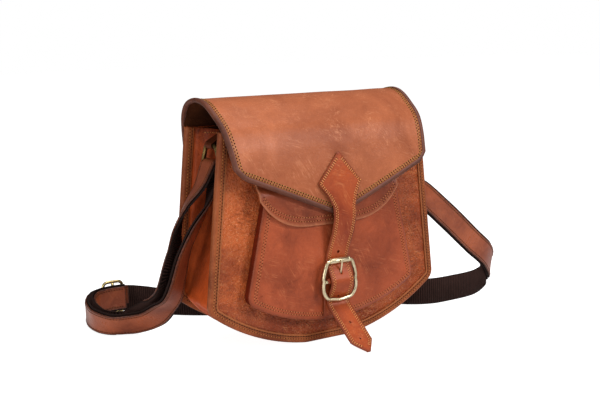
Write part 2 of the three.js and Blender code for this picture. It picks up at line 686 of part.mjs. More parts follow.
// Pocket wall with a flange on the panel and one behind the pocket's front
const POCKET_WALL_FRONT = -BODY_DEPTH / 2 - GAP - POCKET_DEPTH;
function pocketGusset() {
  const rings = wholeOutline(POCKET_HALF_OUTLINE).map((s) => {
    const at = (inset) => [s.x - s.nx * inset, s.z - s.nz * inset];
    const base = (inset) => frontFace(...at(inset)) - GAP - POCKET_T / 2;
    const line = [
      [POCKET_FLANGE, base(POCKET_FLANGE)], [0, base(0)],
      [0, POCKET_WALL_FRONT], [POCKET_FLANGE, POCKET_WALL_FRONT],
    ];
    return thicken(line, POCKET_T).map(([inset, y]) => vec(at(inset)[0], y, at(inset)[1]));
  });
  return loft(rings, fillSheet);
}

// Middle surface of the pocket's front: a low dome with a rim that rolls back
const POCKET_FRONT_Y = POCKET_WALL_FRONT - POCKET_T / 2 - GAP - POCKET_FRONT_T / 2;
function pocketFrontDepth(x, z, half) {
  const low = POCKET_BOTTOM_Z + POCKET_BOTTOM_RADIUS - Math.sqrt(POCKET_BOTTOM_RADIUS ** 2 - x ** 2);
  const edge = Math.min(half - Math.abs(x), z - low);
  const rim = Math.max(0, 1 - Math.max(edge, 0) / POCKET_RIM_WIDTH) ** 2;
  const bulge = POCKET_BULGE * dome(x, half, z, POCKET_BOTTOM_Z, POCKET_TOP_Z);
  return POCKET_FRONT_Y - POCKET_RIM * (1 - rim) - bulge;
}
const pocketFront = () => panel(
  POCKET_HALF_OUTLINE, -POCKET_T, POCKET_FRONT_T, POCKET_COLUMNS, pocketFrontDepth);

// Crescent flap over the pocket's mouth
function pocketFlap() {
  const at = tableCurve(POCKET_FLAP_ROWS, ['y', 'z']);
  const rings = Array.from({ length: POCKET_FLAP_COLUMNS + 1 }, (_, i) => {
    const u = lerp(-1, 1, i / POCKET_FLAP_COLUMNS);
    const lowZ = POCKET_FLAP_LOW_Z + POCKET_FLAP_RISE * u ** 4;
    let lastRow = POCKET_FLAP_ROWS.length - 1;
    while (at(lastRow).z < lowZ) lastRow -= 0.01;
    const line = Array.from({ length: POCKET_FLAP_STEPS + 1 }, (_unused, j) => {
      const found = at((lastRow * j) / POCKET_FLAP_STEPS);
      return [found.y, found.z];
    });
    const x = POCKET_FLAP_SHIFT + u * POCKET_FLAP_HALF;
    return thicken(line, POCKET_FLAP_T).map(([y, z]) => vec(x, y, z));
  });
  return loft(rings, fillSheet);
}

// Closure strap, with its holes
const closureAt = tableCurve(CLOSURE_ROWS, ['x', 'y', 'z', 'half']);
function closureFrame(row) {
  const here = closureAt(row);
  const ahead = closureAt(Math.min(row + FRAME_STEP, CLOSURE_ROWS.length - 1));
  const behind = closureAt(Math.max(row - FRAME_STEP, 0));
  const tangent = vec(0, ahead.y - behind.y, ahead.z - behind.z).normalize();
  return { centre: vec(here.x, here.y, here.z), half: here.half, normal: vec(1, 0, 0).cross(tangent) };
}

function closureStrap() {
  const rings = [];
  for (let i = 0; i <= 2 * (CLOSURE_ROWS.length - 1); i += 1) {
    const { centre, half, normal } = closureFrame(i / 2);
    rings.push([[1, 1], [1, -1], [-1, -1], [-1, 1]].map(([a, b]) => (
      centre.clone().add(vec(a * half, 0, 0)).addScaledVector(normal, (b * CLOSURE_T) / 2))));
  }
  const tools = CLOSURE_HOLES.map((row, i) => {
    const { centre, normal } = closureFrame(row);
    const stretch = i === PRONG_HOLE ? PRONG_HOLE_STRETCH : 1;
    const tool = new THREE.CylinderGeometry(HOLE_R, HOLE_R, 4 * CLOSURE_T, HOLE_SIDES).scale(1, 1, stretch);
    const turn = new THREE.Matrix4().makeBasis(vec(1, 0, 0), normal, vec(1, 0, 0).cross(normal));
    return tool.applyMatrix4(turn.setPosition(centre));
  });
  return cut(loft(rings, fillSheet), tools);
}

// Closed path from half of an outline whose first and last rows lie on the axis of symmetry
function mirrorPath(rows, place) {
  const right = rows.map((row) => place(row, 1));
  const left = rows.slice(1, -1).reverse().map((row) => place(row, -1));
  return [...right, ...left];
}

function buckleFrame() {
  const path = mirrorPath(BUCKLE_HALF, (row, side) => vec(side * row.x, BUCKLE_Y, BUCKLE_Z + row.z));
  const bar = new THREE.CylinderGeometry(BUCKLE_BAR_R, BUCKLE_BAR_R, 2 * BUCKLE_HALF[5].x, WIRE_SIDES);
  bar.rotateZ(Math.PI / 2).translate(0, BUCKLE_Y, BUCKLE_Z);
  return join(wire(path, vec(0, 1, 0), BUCKLE_WIRE_R, WIRE_SIDES, true), bar);
}

function buckleRoller() {
  const bore = BUCKLE_WIRE_R + GAP;
  const profile = [
    [bore, -ROLLER_HALF], [ROLLER_R, -ROLLER_HALF],
    [ROLLER_R, ROLLER_HALF], [bore, ROLLER_HALF], [bore, -ROLLER_HALF],
  ].map(([r, h]) => new THREE.Vector2(r, h));
  const tube = new THREE.LatheGeometry(profile, ROLLER_SIDES);
  return tube.rotateZ(Math.PI / 2).translate(0, BUCKLE_Y, BUCKLE_Z + BUCKLE_HALF[0].z);
}

// Prong: a hook round the centre bar and a tongue up to the far bar, drawn in a plane.
// across points from the bar to the front, and up from the bar to the far bar.
function prong(bar, across, up, barRadius, reach, restOut) {
  const hook = barRadius + PRONG_PLAY + PRONG_R;
  const place = (a, b) => bar.clone().addScaledVector(across, a).addScaledVector(up, b);
  const path = [];
  for (const turn of turns(PRONG_HOOK)) {
    path.push(place(hook * Math.cos(turn), hook * Math.sin(turn)));
  }
  PRONG_TONGUE.forEach((row) => path.push(place(restOut * row.out, lerp(hook, reach, row.along))));
  return wire(path, across.clone().cross(up), PRONG_R, PRONG_SIDES, false);
}

const bucklePosition = vec(0, BUCKLE_Y, BUCKLE_Z);
const buckleProng = () => prong(
  bucklePosition, vec(0, -1, 0), vec(0, 0, 1), BUCKLE_BAR_R, BUCKLE_HALF[0].z, ROLLER_R + GAP + PRONG_R);

// Leather loop that comes up from the pocket's bottom seam and wraps the centre bar, with the prong's slot
function buckleChape() {
  const lieY = POCKET_FRONT_Y - POCKET_RIM - POCKET_FRONT_T / 2 - POCKET_BULGE - GAP - CHAPE_T / 2;
  const wrap = BUCKLE_BAR_R + GAP + CHAPE_T / 2;
  const path = CHAPE_SEAT.map((row) => vec(0, lieY + row.in, row.z));
  for (const turn of turns(CHAPE_WRAP)) {
    path.push(vec(0, BUCKLE_Y + wrap * Math.cos(turn), BUCKLE_Z + wrap * Math.sin(turn)));
  }
  const slot = new THREE.BoxGeometry(2 * SLOT_HALF, CHAPE_SLOT, CHAPE_SLOT).translate(0, BUCKLE_Y, BUCKLE_Z);
  return cut(band(path, vec(1, 0, 0), CHAPE_HALF, CHAPE_T), [slot]);
}

// Ring on one side of the bag; side is -1 on the left and 1 on the right
function ring(side) {
  const place = (row, turn) => vec(side * RING_X, RING_Y + turn * row.y, RING_Z + row.z);
  const path = mirrorPath(RING_HALF, place);
  return wire(path, vec(1, 0, 0), RING_WIRE_R, WIRE_SIDES, true);
}

// Tab that holds the ring on the gusset: down from the mouth, round the ring's top bar and back up
function ringTab(side) {
  const barZ = RING_Z + RING_HALF[RING_HALF.length - 1].z;
  const wrap = RING_WIRE_R + GAP + RING_TAB_T / 2;
  const quarterY = WALL_POINTS[3];
  const far = (Math.abs(RING_Y) + RING_TAB_HALF) / quarterY;
  const reachAt = (z) => lerp(wallReach({ z, nz: 0 }, 0), wallReach({ z, nz: 0 }, quarterY), far);
  const inner = (z) => bodyHalfAt(z) + reachAt(z) + GUSSET_T / 2 + GAP + RING_TAB_T / 2;
  const outer = (z) => inner(z) + RING_TAB_T + GAP;
  const path = [vec(side * inner(RING_TAB_TOP_Z), RING_Y, RING_TAB_TOP_Z)];
  path.push(vec(side * inner(barZ + RING_TAB_BEND), RING_Y, barZ + RING_TAB_BEND));
  for (const turn of turns(RING_TAB_WRAP)) {
    path.push(vec(side * (RING_X + wrap * Math.cos(turn)), RING_Y, barZ + wrap * Math.sin(turn)));
  }
  path.push(vec(side * outer(barZ + RING_TAB_RETURN), RING_Y, barZ + RING_TAB_RETURN));
  path.push(vec(side * outer(RING_TAB_TOP_Z - 1), RING_Y, RING_TAB_TOP_Z - 1));
  return band(path, vec(0, 1, 0), RING_TAB_HALF, RING_TAB_T);
}

// Fold of the strap over a ring's lower bar; side is -1 on the left and 1 on the right
function strapFold(side) {
  return turns(STRAP_FOLD).map((turn) => {
    const x = side * (RING_X + STRAP_FOLD_R * Math.cos(turn));
    return { x, y: RING_Y, z: RING_Z + STRAP_FOLD_R * Math.sin(turn), edge: [0, side, 0] };
  });
}

// Stations along the whole strap: its middle, the direction of its edge, and the normal of its leather face
function strapStations() {
  const shortEnd = STRAP_SHORT_END.map((row) => (
    { x: RING_X - row.in, y: RING_Y, z: RING_Z - row.below, edge: [0, 1, 0] }));
  const rows = [...shortEnd, ...strapFold(1), ...ROUTE_RIGHT_TO_LEFT, ...strapFold(-1), ...ROUTE_TAIL];
  const middle = new THREE.CatmullRomCurve3(rows.map((r) => vec(r.x, r.y, r.z)), false, 'centripetal');
  const edges = new THREE.CatmullRomCurve3(rows.map((r) => vec(...r.edge)), false, 'centripetal');
  const spans = rows.length - 1;
  const stationAt = (t) => {
    const centre = middle.getPoint(t);
    const along = middle.getTangent(t);
    const edge = edges.getPoint(t);
    edge.addScaledVector(along, -edge.dot(along)).normalize();
    const face = along.clone().cross(edge);
    const lowest = centre.z - STRAP_WEBBING_HALF * Math.abs(edge.z) - STRAP_LEATHER_T * Math.abs(face.z);
    centre.z += Math.max(0, -lowest);
    return { centre, along, edge, face };
  };
  const stations = [];
  for (let i = 0; i < spans; i += 1) {
    const [here, next] = [stationAt(i / spans), stationAt((i + 1) / spans)];
    const bend = THREE.MathUtils.radToDeg(here.along.angleTo(next.along));
    const twist = THREE.MathUtils.radToDeg(Math.asin(Math.abs(next.edge.dot(here.face))));
    const length = here.centre.distanceTo(next.centre);
    const steps = Math.ceil(Math.max(length / STRAP_STEP, bend / STRAP_BEND, twist / STRAP_TWIST));
    for (let k = 0; k < steps; k += 1) stations.push(stationAt((i + k / steps) / spans));
  }
  return [...stations, stationAt(1)];
}

// One layer of the strap, between two distances from the middle along the leather face's normal
function strapLayer(stations, half, from, to) {
  const section = [[half, to], [half, from], [-half, from], [-half, to]];
  return loft(stations.map(({ centre, edge, face }) => section.map(([a, b]) => (
    centre.clone().addScaledVector(edge, a).addScaledVector(face, b)))), fillSheet);
}

function strapBuckleFrame() {
  const corner = STRAP_BUCKLE_HALF.map((row) => [row.x, row.z]);
  const quarter = (sx, sz) => corner.map(([x, z]) => vec(
    STRAP_BUCKLE_X + sx * x, STRAP_BUCKLE_Y, STRAP_BUCKLE_Z + sz * z));
  const path = [
    ...quarter(1, 1), ...quarter(1, -1).reverse().slice(1),
    ...quarter(-1, -1).slice(1), ...quarter(-1, 1).reverse().slice(1, -1),
  ];
  const bar = new THREE.CylinderGeometry(
    STRAP_BUCKLE_BAR_R, STRAP_BUCKLE_BAR_R, 2 * STRAP_BUCKLE_HALF[0].z, WIRE_SIDES);
  bar.rotateX(Math.PI / 2).translate(STRAP_BUCKLE_X, STRAP_BUCKLE_Y, STRAP_BUCKLE_Z);
  return join(wire(path, vec(0, 1, 0), STRAP_BUCKLE_WIRE_R, WIRE_SIDES, true), bar);
}

const strapBucklePosition = vec(STRAP_BUCKLE_X, STRAP_BUCKLE_Y, STRAP_BUCKLE_Z);
const strapBuckleProng = () => prong(
  strapBucklePosition, vec(0, 1, 0), vec(-1, 0, 0), STRAP_BUCKLE_BAR_R,
  STRAP_BUCKLE_HALF[3].x, STRAP_BUCKLE_WIRE_R + GAP + PRONG_R);

// Leather loop that holds the strap's buckle on the webbing
function strapBuckleChape() {
  const wrap = STRAP_BUCKLE_BAR_R + GAP + CHAPE_T / 2;
  const path = STRAP_CHAPE_SEAT.map((row) => vec(row.x, row.y, STRAP_BUCKLE_Z));
  for (const turn of turns(STRAP_CHAPE_WRAP)) {
    path.push(strapBucklePosition.clone().add(vec(wrap * Math.cos(turn), wrap * Math.sin(turn), 0)));
  }
  const slot = new THREE.BoxGeometry(CHAPE_SLOT, CHAPE_SLOT, 2 * SLOT_HALF).translate(...strapBucklePosition);
  return cut(band(path, vec(0, 0, 1), STRAP_CHAPE_HALF, CHAPE_T), [slot]);
}

const FINISHES = {
  panelLeather: { color: 0x9c5234, roughness: 0.55, metalness: 0 },
  flapLeather: { color: 0xb0623f, roughness: 0.5, metalness: 0 },
  edgeLeather: { color: 0x8a5a3c, roughness: 0.6, metalness: 0 },
  flapEdgeLeather: { color: 0x7a5350, roughness: 0.6, metalness: 0 },
  strapLeather: { color: 0x9a5238, roughness: 0.45, metalness: 0 },
  closureLeather: { color: 0xb2592f, roughness: 0.5, metalness: 0 },
  webbing: { color: 0x30201d, roughness: 0.9, metalness: 0 },
  brass: { color: 0xb7a06a, roughness: 0.35, metalness: 1 },
};

const bag = new THREE.Group();
function add(name, finish, geometry) {
  const mesh = new THREE.Mesh(geometry, new THREE.MeshStandardMaterial(FINISHES[finish]));
  mesh.name = name;
  bag.add(mesh);
}

add('front_panel', 'panelLeather', frontPanel());
add('back_panel', 'panelLeather', backPanel());
add('gusset', 'panelLeather', gusset());
add('front_binding', 'edgeLeather', bodyBinding(-1));
add('back_binding', 'edgeLeather', bodyBinding(1));
add('flap', 'flapLeather', flap());
add('flap_binding', 'flapEdgeLeather', flapBinding());
add('pocket_gusset', 'panelLeather', pocketGusset());
add('pocket_front', 'panelLeather', pocketFront());
add('pocket_flap', 'panelLeather', pocketFlap());
add('closure_strap', 'closureLeather', closureStrap());
add('buckle_frame', 'brass', buckleFrame());
add('buckle_roller', 'brass', buckleRoller());
add('buckle_prong', 'brass', buckleProng());
add('buckle_chape', 'panelLeather', buckleChape());
for (const [label, side] of [['left', -1], ['right', 1]]) {
  add(`ring_${label}`, 'brass', ring(side));
  add(`ring_tab_${label}`, 'panelLeather', ringTab(side));
}
const strap = strapStations();
const seam = STRAP_SEAM / 2;
add('strap_leather', 'strapLeather', strapLayer(strap, STRAP_LEATHER_HALF, seam, seam + STRAP_LEATHER_T));
add('strap_webbing', 'webbing', strapLayer(strap, STRAP_WEBBING_HALF, -seam - STRAP_WEBBING_T, -seam));
add('strap_buckle_frame', 'brass', strapBuckleFrame());
add('strap_buckle_prong', 'brass', strapBuckleProng());
add('strap_buckle_chape', 'strapLeather', strapBuckleChape());

export default bag;
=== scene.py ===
import math

import bmesh
import bpy
import numpy as np
from mathutils import Matrix


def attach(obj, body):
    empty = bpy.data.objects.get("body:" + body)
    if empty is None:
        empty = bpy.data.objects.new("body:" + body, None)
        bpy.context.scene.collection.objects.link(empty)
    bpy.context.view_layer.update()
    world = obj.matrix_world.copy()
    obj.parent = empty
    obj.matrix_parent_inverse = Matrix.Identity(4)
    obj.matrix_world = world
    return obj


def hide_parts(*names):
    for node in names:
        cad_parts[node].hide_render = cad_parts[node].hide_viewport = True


# A leather crossbody bag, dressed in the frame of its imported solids.
# Sizes are in millimetres until a mesh is made. +Z is up and the front faces -Y.

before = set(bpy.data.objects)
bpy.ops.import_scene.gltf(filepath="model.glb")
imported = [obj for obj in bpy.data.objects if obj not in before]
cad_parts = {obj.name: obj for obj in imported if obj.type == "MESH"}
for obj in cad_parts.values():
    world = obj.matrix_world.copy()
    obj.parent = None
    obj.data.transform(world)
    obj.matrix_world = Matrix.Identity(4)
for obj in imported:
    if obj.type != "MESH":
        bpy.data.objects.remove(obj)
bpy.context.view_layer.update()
scene = bpy.context.scene
MM = 0.001
GAP = 0.3
# Points of a seam that lie this close become one
SEAM_JOIN = 0.02
# Angles of the rows of points that round a sheet's edge
RIM_TURNS = (0.8, 0.0, -0.8)
# A table's step shorter than this counts as none
SHORT_STEP = 1e-4
# A corner's rounding takes at most this share of its sides
CORNER_SHARE = 0.49

# Body; values named SEWN are the rows' distances from an edge, where no comment says otherwise
TOP_Z = 205
BODY_SHAPE = dict(
    radius=199, low=-1.5, half_corner=127, corner_z=46, half_top=110.7, top=TOP_Z, fillet=13)
BODY_CORE_Z = 70
BODY_DEPTH = 72
PANEL_T = 2.2
PANEL_INSET = 1.6
FRONT_BULGE = 2.5
BACK_BULGE = 4
GUSSET_T = 1.8
FLANGE_DEPTH = 10
WALL_HALF = 29
WALL_EDGE = 1.5
FLANGE_Y = BODY_DEPTH / 2 - PANEL_T - GAP - GUSSET_T / 2
# Height, and how far the middle of the gusset's wall bows out there
GUSSET_BOW = np.array([(0, 14), (20, 9), (45, 4), (70, -2), (105, -9), (135, -13), (TOP_Z, -13.5)], float)
# Height, spread and depth of the wall's soft folds
GUSSET_FOLDS = [(34, 26, 1.5), (96, 40, 0.5)]
# Lengths of the folds' two waves, down and across the wall
GUSSET_WAVES = [(9.5, 13), (31, 17)]
# The flange as it turns into the wall: depth from the flange's middle, and reach from the outline
GUSSET_TURN = [(0, -PANEL_INSET - 0.9), (0, -4), (0, -6.5), (0, -8.4), (0.9, -9.6), (2.2, -10)]
HEM_HALF = 25
HEM_SEWN = 5
BINDING_T = 1.2
BINDING_LEG = 8.5
BINDING_TRIM = 0.5
BINDING_ROUND = 2.6
BINDING_SEWN = (1.6, 3.8)

# Flap: left edge, right edge, depth and height, from the back seam over the top to the hem
FLAP_T = 2
FLAP_ROWS = [
    (-109, 107, 39.2, 186), (-110, 108, 39.3, 204), (-111, 108.5, 36.2, 216.5), (-112, 109, 27.5, 226),
    (-112.4, 109.2, 15, 230.6), (-112.4, 109, 1, 231.3), (-112, 107.5, -13, 227.6), (-111.4, 106, -27, 219),
    (-110.4, 104.6, -40.6, 208), (-108, 104, -47.4, 193), (-105.4, 103.4, -51, 178),
    (-103.4, 103.2, -53.2, 165), (-103, 103, -55.4, 146), (-103, 103, -56, 118),
]
FLAP_CORNER_Z = 168
FLAP_TIP_Z = 124
FLAP_CORNER_LIFT = 6
FLAP_CORNER_START = 0.9
FLAP_TIP_ROUND = 0.03
# The solids' flap has this many steps; directions by its edge are taken over one of them
FLAP_STEPS = 14
FLAP_BINDING_T = 1
FLAP_BINDING_ROUND = 1.75
# Each leg of the strip: inset from the flap's edge, and rise off the flap
FLAP_BINDING_LEG = [(2.4, 1.6), (1.7, 1.7)]
# Where it has no inner leg, that leg's columns lie tucked at the edge: inset and rise, and their steps
FLAP_TUCK_INSET = (-0.72, 0.02)
FLAP_TUCK_RISE = (-0.25, -0.06)
# Heights on the back between which the strip's inner leg fades in, where it leaves the back binding
FLAP_INNER_LEG_Z = (205, 216)
FLAP_WAVE_HEIGHT = 0.55
FLAP_WAVE_LENGTH = 95
# Where its waves begin and how fast they rise, in from the sides, down from the back and up from the hem
FLAP_WAVE_FADES = [(0, 6), (0.25, 4), (-0.93, 8)]
# The kite of the closure strap holds them flat: its middle and spread across, and its fade down
FLAP_KITE_ACROSS = (-0.01, 0.3)
FLAP_KITE_DOWN = (0.6, 5)
# What its leather covers within the strip, as shares: of its width, and start and run of its length
FLAP_COVER_ACROSS = 0.992
FLAP_COVER_DOWN = (0.002, 0.994)
# The strip round its edge starts at this share of the length
FLAP_BINDING_START = 0.012
FLAP_MEAN_HALF = 106
# The hem slants, so that a row beside it lies this many times its inset up the flap
FLAP_HEM_SLANT = 1.08
FLAP_SEWN = (4.4, 6.5)
# Rows that hold the flap on the back, as shares of its length, and the share of its width they cover
FLAP_BACK_SEWN = (0.03, 0.055)
FLAP_BACK_SEWN_WIDTH = 0.93

# Pocket
POCKET_SHAPE = dict(radius=170, low=24.5, half_corner=92, corner_z=50, half_top=71, top=146, fillet=9)
POCKET_CORE_Z = 78
POCKET_DEPTH = 8
POCKET_FLANGE = 7
POCKET_T = 1.4
POCKET_ROUND = 1.6
POCKET_FRONT_T = 1.8
POCKET_RIM = 1.6
POCKET_RIM_WIDTH = 5
POCKET_BULGE = 1.2
POCKET_WALL_FRONT = -BODY_DEPTH / 2 - GAP - POCKET_DEPTH
POCKET_FRONT_Y = POCKET_WALL_FRONT - POCKET_T / 2 - GAP - POCKET_FRONT_T / 2
POCKET_SEWN = (3.4, 5.6)
# Pocket flap: its rows give depth and height, from its seam to its lower edge
POCKET_FLAP_T = 1.6
POCKET_FLAP_SHIFT = -5
POCKET_FLAP_HALF = 76
POCKET_FLAP_LOW_Z = 114.5
# Its lower edge stands off by the lift, which fades in from the middle to the sides
POCKET_FLAP_LIFT = 1.1
POCKET_FLAP_LIFT_FADE = (0.25, 4)
POCKET_FLAP_RISE = 30
# Shares of its half-width and of its length that its middle surface covers
POCKET_FLAP_COVER = (0.99, 0.988)
POCKET_FLAP_ROWS = [
    (-38.2, 172), (-38.8, 164), (-45, 156), (-50.2, 148.5), (-51.2, 139), (-51.4, 128), (-51.4, 110.5),
]
POCKET_FLAP_SEWN = (3, 5.2)
POCKET_FLAP_SEWN_WIDTH = 0.95

# Closure strap: middle and half-width, from the kite-shaped root to the pointed end
CLOSURE_T = 2
CLOSURE_ROWS = [
    (2, -53.2, 181, 0.7), (1, -55.6, 168, 12), (0.5, -57.6, 154.5, 24), (2, -59.3, 143, 16.5),
    (3.6, -60.2, 132, 12.2), (4, -60.4, 121, 12), (3, -58.2, 108, 12), (1.5, -54.6, 96, 12),
    (0.4, -52.3, 86, 12), (0, -52.6, 79, 12), (0, -57.6, 70, 12), (0, -61.3, 61.5, 12), (0, -58, 52.5, 12),
    (0, -53.2, 45, 12), (0.2, -54.2, 38, 12), (0.8, -61.5, 31, 12), (2.2, -73, 20.5, 12),
    (3.6, -85.5, 9.4, 11.8), (4.4, -96.5, 2.4, 1.2),
]
CLOSURE_END = len(CLOSURE_ROWS) - 1
CLOSURE_SEWN = (1.9, 3.7)
# Rows of its table that its middle surface and its stitches leave free at both ends, and the kite's last
CLOSURE_TRIM = 0.03
CLOSURE_UNSEWN = (0.35, 0.45)
KITE_LAST_ROW = 4
# Share of its half-width that its middle surface covers, and the least at which it is sewn
CLOSURE_COVER = 0.94
CLOSURE_LEAST_SEWN = 0.1
# Row of each hole, its radius and how far it is stretched for the prong
CLOSURE_HOLES = [(7.75, 1.5, 1), (10, 1.5, 2), (12.85, 1.5, 1), (15.75, 1.3, 1), (16.85, 0.95, 1)]
PUNCH_REACH = 4

# Buckle of the closure
BUCKLE_Y = -56.2
BUCKLE_Z = 61.5
BUCKLE_CENTRE = np.array([0, BUCKLE_Y, BUCKLE_Z])
# Right half of its frame, across and up from its centre, with the upper bar and the waist named
BUCKLE_TOP = 19
BUCKLE_WAIST = 17.2
BUCKLE_HALF = [
    (0, BUCKLE_TOP), (11.5, BUCKLE_TOP), (14, 17.6), (16.4, 10), (18, 3.4), (BUCKLE_WAIST, 0),
    (18.2, -4), (17.6, -10.5), (13.5, -16.4), (0, -18.6),
]
BUCKLE_WIRE_R = 1.75
BUCKLE_BAR_R = 1.55
ROLLER_R = 2.7
ROLLER_HALF = 11
# Rounded end and groove of the roller: how much the radius is less, and way in from the end
ROLLER_EDGE = [(0.25, 0), (0, 0.3), (0, 1.6), (0.18, 1.9), (0, 2.2)]
PRONG_R = 1
PRONG_PLAY = 0.2
# Wraps round a bar, here and below: first and last angle in degrees, and steps between
PRONG_HOOK = (-60, -270, 6)
# Tongue beyond its hook: shares of the way out to its rest, and of the way up to the far bar
PRONG_TONGUE = [(0.45, 0.35), (1, 0.87), (0.98, 1.15)]
# Shares of the prong's length, and of its radius there
PRONG_TAPER = [(0, 0.55), (0.03, 1), (0.7, 1), (0.96, 0.85), (1, 0.45)]
BRASS_ROUND = 3
# Leather loop that holds the buckle: way in from the pocket's face, and height, below the bar
CHAPE_SEAT = [(1.3, 27), (0, 36), (0, 47)]
CHAPE_T = 1.4
CHAPE_HALF = 14.5
SLOT_HALF = 2
CHAPE_SLOT = 9
CHAPE_WRAP = (0, 200, 8)
# Rows of a loop's path that its leather leaves free at both ends
LOOP_TRIM = 0.02
# Loops are sewn by both edges: way out from the middle, and the shares of the length between
CHAPE_SEWN = (12, 0.02, 0.22)

# Rings and their tabs
RING_X = 102
RING_Y = -2
RING_Z = 172
RING_WIRE_R = 2
# Half of a ring: way across, and height over its lower bar
RING_TALL = 19.2
RING_HALF = [(0, 0), (14.5, 0), (16.8, 2.2), (13.4, 10), (10, 17.6), (7.6, RING_TALL), (0, RING_TALL)]
RING_TAB_HALF = 6.2
RING_TAB_T = 1.4
RING_TAB_TOP_Z = 203
RING_TAB_WRAP = (180, 420, 8)
RING_TAB_SEWN = (3.6, 0.93, 0.985)
# Heights above the ring's bar where the tab's inner and outer layers bend to it
RING_TAB_BENDS = (6, 9)
# The outer layer ends this much lower
RING_TAB_END_DROP = 1
# Depth of the solids' wall column beside the tabs
WALL_COLUMN_Y = 19

# Shoulder strap; its routes give its middle and the direction of its edge
STRAP_LEATHER_T = 1.75
STRAP_LEATHER_HALF = 12
STRAP_WEBBING_T = 1.4
STRAP_WEBBING_HALF = 14
STRAP_FOLD_R = 4.3
STRAP_SEAM = 0.45
# Its rows of stitches: distance from the middle, and from the ends
STRAP_SEWN = 9.2
STRAP_SEWN_END = 4
STRAP_TRIM = 0.5
# Angles of the fold over a ring, in degrees
STRAP_FOLD_TURNS = (180, 120, 60, 0)
# Folded end behind the right ring: way in from the ring, and down
STRAP_SHORT_END = [(2.2, 34), (2.6, 17)]
ROUTE_RIGHT_TO_LEFT = [
    (108, -2, 157, 0.1, 0.98, 0.1), (120, -1, 141, 0.4, 0.7, 0.5), (149, 0, 117, 0.66, 0.1, 0.74),
    (187, 3, 86, 0.69, 0, 0.72), (218, 5.8, 59.7, 0.64, 0, 0.76), (239, 8.7, 43.4, 0.5, 0.05, 0.86),
    (253, 17.7, 31.4, 0.3, 0, 0.95), (262.2, 27.4, 22.2, 0.12, 0, 1), (270.4, 38.6, 16, 0.03, 0, 1),
    (274.3, 46.3, 14.2, 0, 0, 1), (274, 51, 14, 0, 0, 1), (270, 49, 14, 0, 0, 1),
    (265.2, 40.8, 14, 0, 0, 1), (259.4, 31.7, 14, 0, 0, 1), (247.6, 21.6, 14, 0, 0, 1),
    (216, 4, 14, 0, 0, 1), (182, 0.3, 14, 0, 0, 1), (156, 2, 14, 0, 0, 1), (134, 14, 14, 0, 0, 1),
    (114, 38, 14, 0, 0, 1), (90, 56, 14, 0, 0, 1),
    (50, 68, 14, 0, 0, 1), (0, 76, 14, 0, 0, 1), (-50, 94, 14, 0, 0, 1), (-92, 126, 14, 0, 0, 1),
    (-108, 151, 14, 0, 0, 1), (-121, 166, 14, 0, 0, 1), (-136, 172, 14, 0, 0, 1), (-150, 171, 14, 0, 0, 1),
    (-164, 162.5, 14, 0, 0, 1), (-174, 146, 14, 0, 0, 1), (-180, 126, 14, -0.05, 0, 1),
    (-181, 102, 13, -0.2, -0.15, 0.97), (-172, 83, 13.3, -0.2, -0.42, 0.88),
    (-155, 75, 13.4, -0.2, -0.42, 0.88), (-142, 59.5, 20, -0.45, -0.4, 0.8),
    (-139, 35, 36, -0.75, -0.35, 0.5), (-138, 14.5, 52, -0.88, -0.4, 0.1),
    (-136.5, 5, 70, -0.86, -0.49, -0.1), (-132, -1, 95, -0.75, -0.6, -0.05),
    (-121.5, -4.5, 118, -0.55, -0.75, 0.3), (-109, -7, 140, -0.4, -0.9, 0.1),
    (-100.5, -4, 158, -0.1, -0.99, 0),
]
ROUTE_TAIL = [
    (-113, -1, 157, -0.1, -0.98, 0.1), (-124, 8, 136, -0.3, -0.93, 0.2), (-132, 13, 114, -0.55, -0.75, 0.1),
    (-134.5, 16, 93.7, -0.75, -0.6, -0.1), (-143, 16, 68, -0.85, -0.5, -0.2),
    (-141, 33.5, 49, -0.82, -0.42, 0.25), (-141.5, 57, 31, -0.5, -0.38, 0.78),
    (-152, 80.5, 16.5, -0.25, -0.42, 0.87), (-164, 88, 14.5, -0.2, -0.42, 0.88),
    (-171.5, 98, 13.8, -0.2, -0.2, 0.9), (-173.5, 111, 14, -0.1, -0.05, 1), (-172.5, 128, 14.5, 0, 0, 1),
    (-168, 143, 16, 0, 0, 1), (-159, 153.2, 17.8, 0, 0, 1), (-148, 155.3, 18.4, 0, 0, 1),
    (-129, 155.3, 18.4, 0, 0, 1),
]
# Strap buckle: its centre, half its width and height, and its cut corners
STRAP_BUCKLE = np.array([-140.5, 161.2, 18.4])
STRAP_BUCKLE_HALF = (10.6, 16.6)
STRAP_BUCKLE_CORNER = 3
STRAP_BUCKLE_WIRE_R = 1.6
STRAP_BUCKLE_BAR_R = 1.45
# Leather loop that holds it: x and y of its first places
STRAP_CHAPE_SEAT = [(-122.6, 163.8), (-129.9, 167.5)]
STRAP_CHAPE_HALF = 10
STRAP_CHAPE_WRAP = (70, 259, 7)
STRAP_CHAPE_SEWN = (7.5, 0.02, 0.2)

# Sewing: length of a stitch from hole to hole, and how far threads and holes stand off the leather
PITCH = 2.9
CLOSURE_PITCH = 2.3
THREAD_HEIGHT = 0.7
THREAD_LIFT = 0.05
HOLE_LIFT = 0.09
HOLE_DEPTH = 0.06
# A second row lies half a stitch further along
ROW_SHIFTS = (0, 0.5)

# Ribs of the webbing
RIB_PITCH = 2.4
RIB_WIDTH = 1.55
RIB_HEIGHT = 0.8
RIB_INSET = 0.8
# Ribs start and stop this far from the strap's ends
RIB_ENDS = (2, 14)

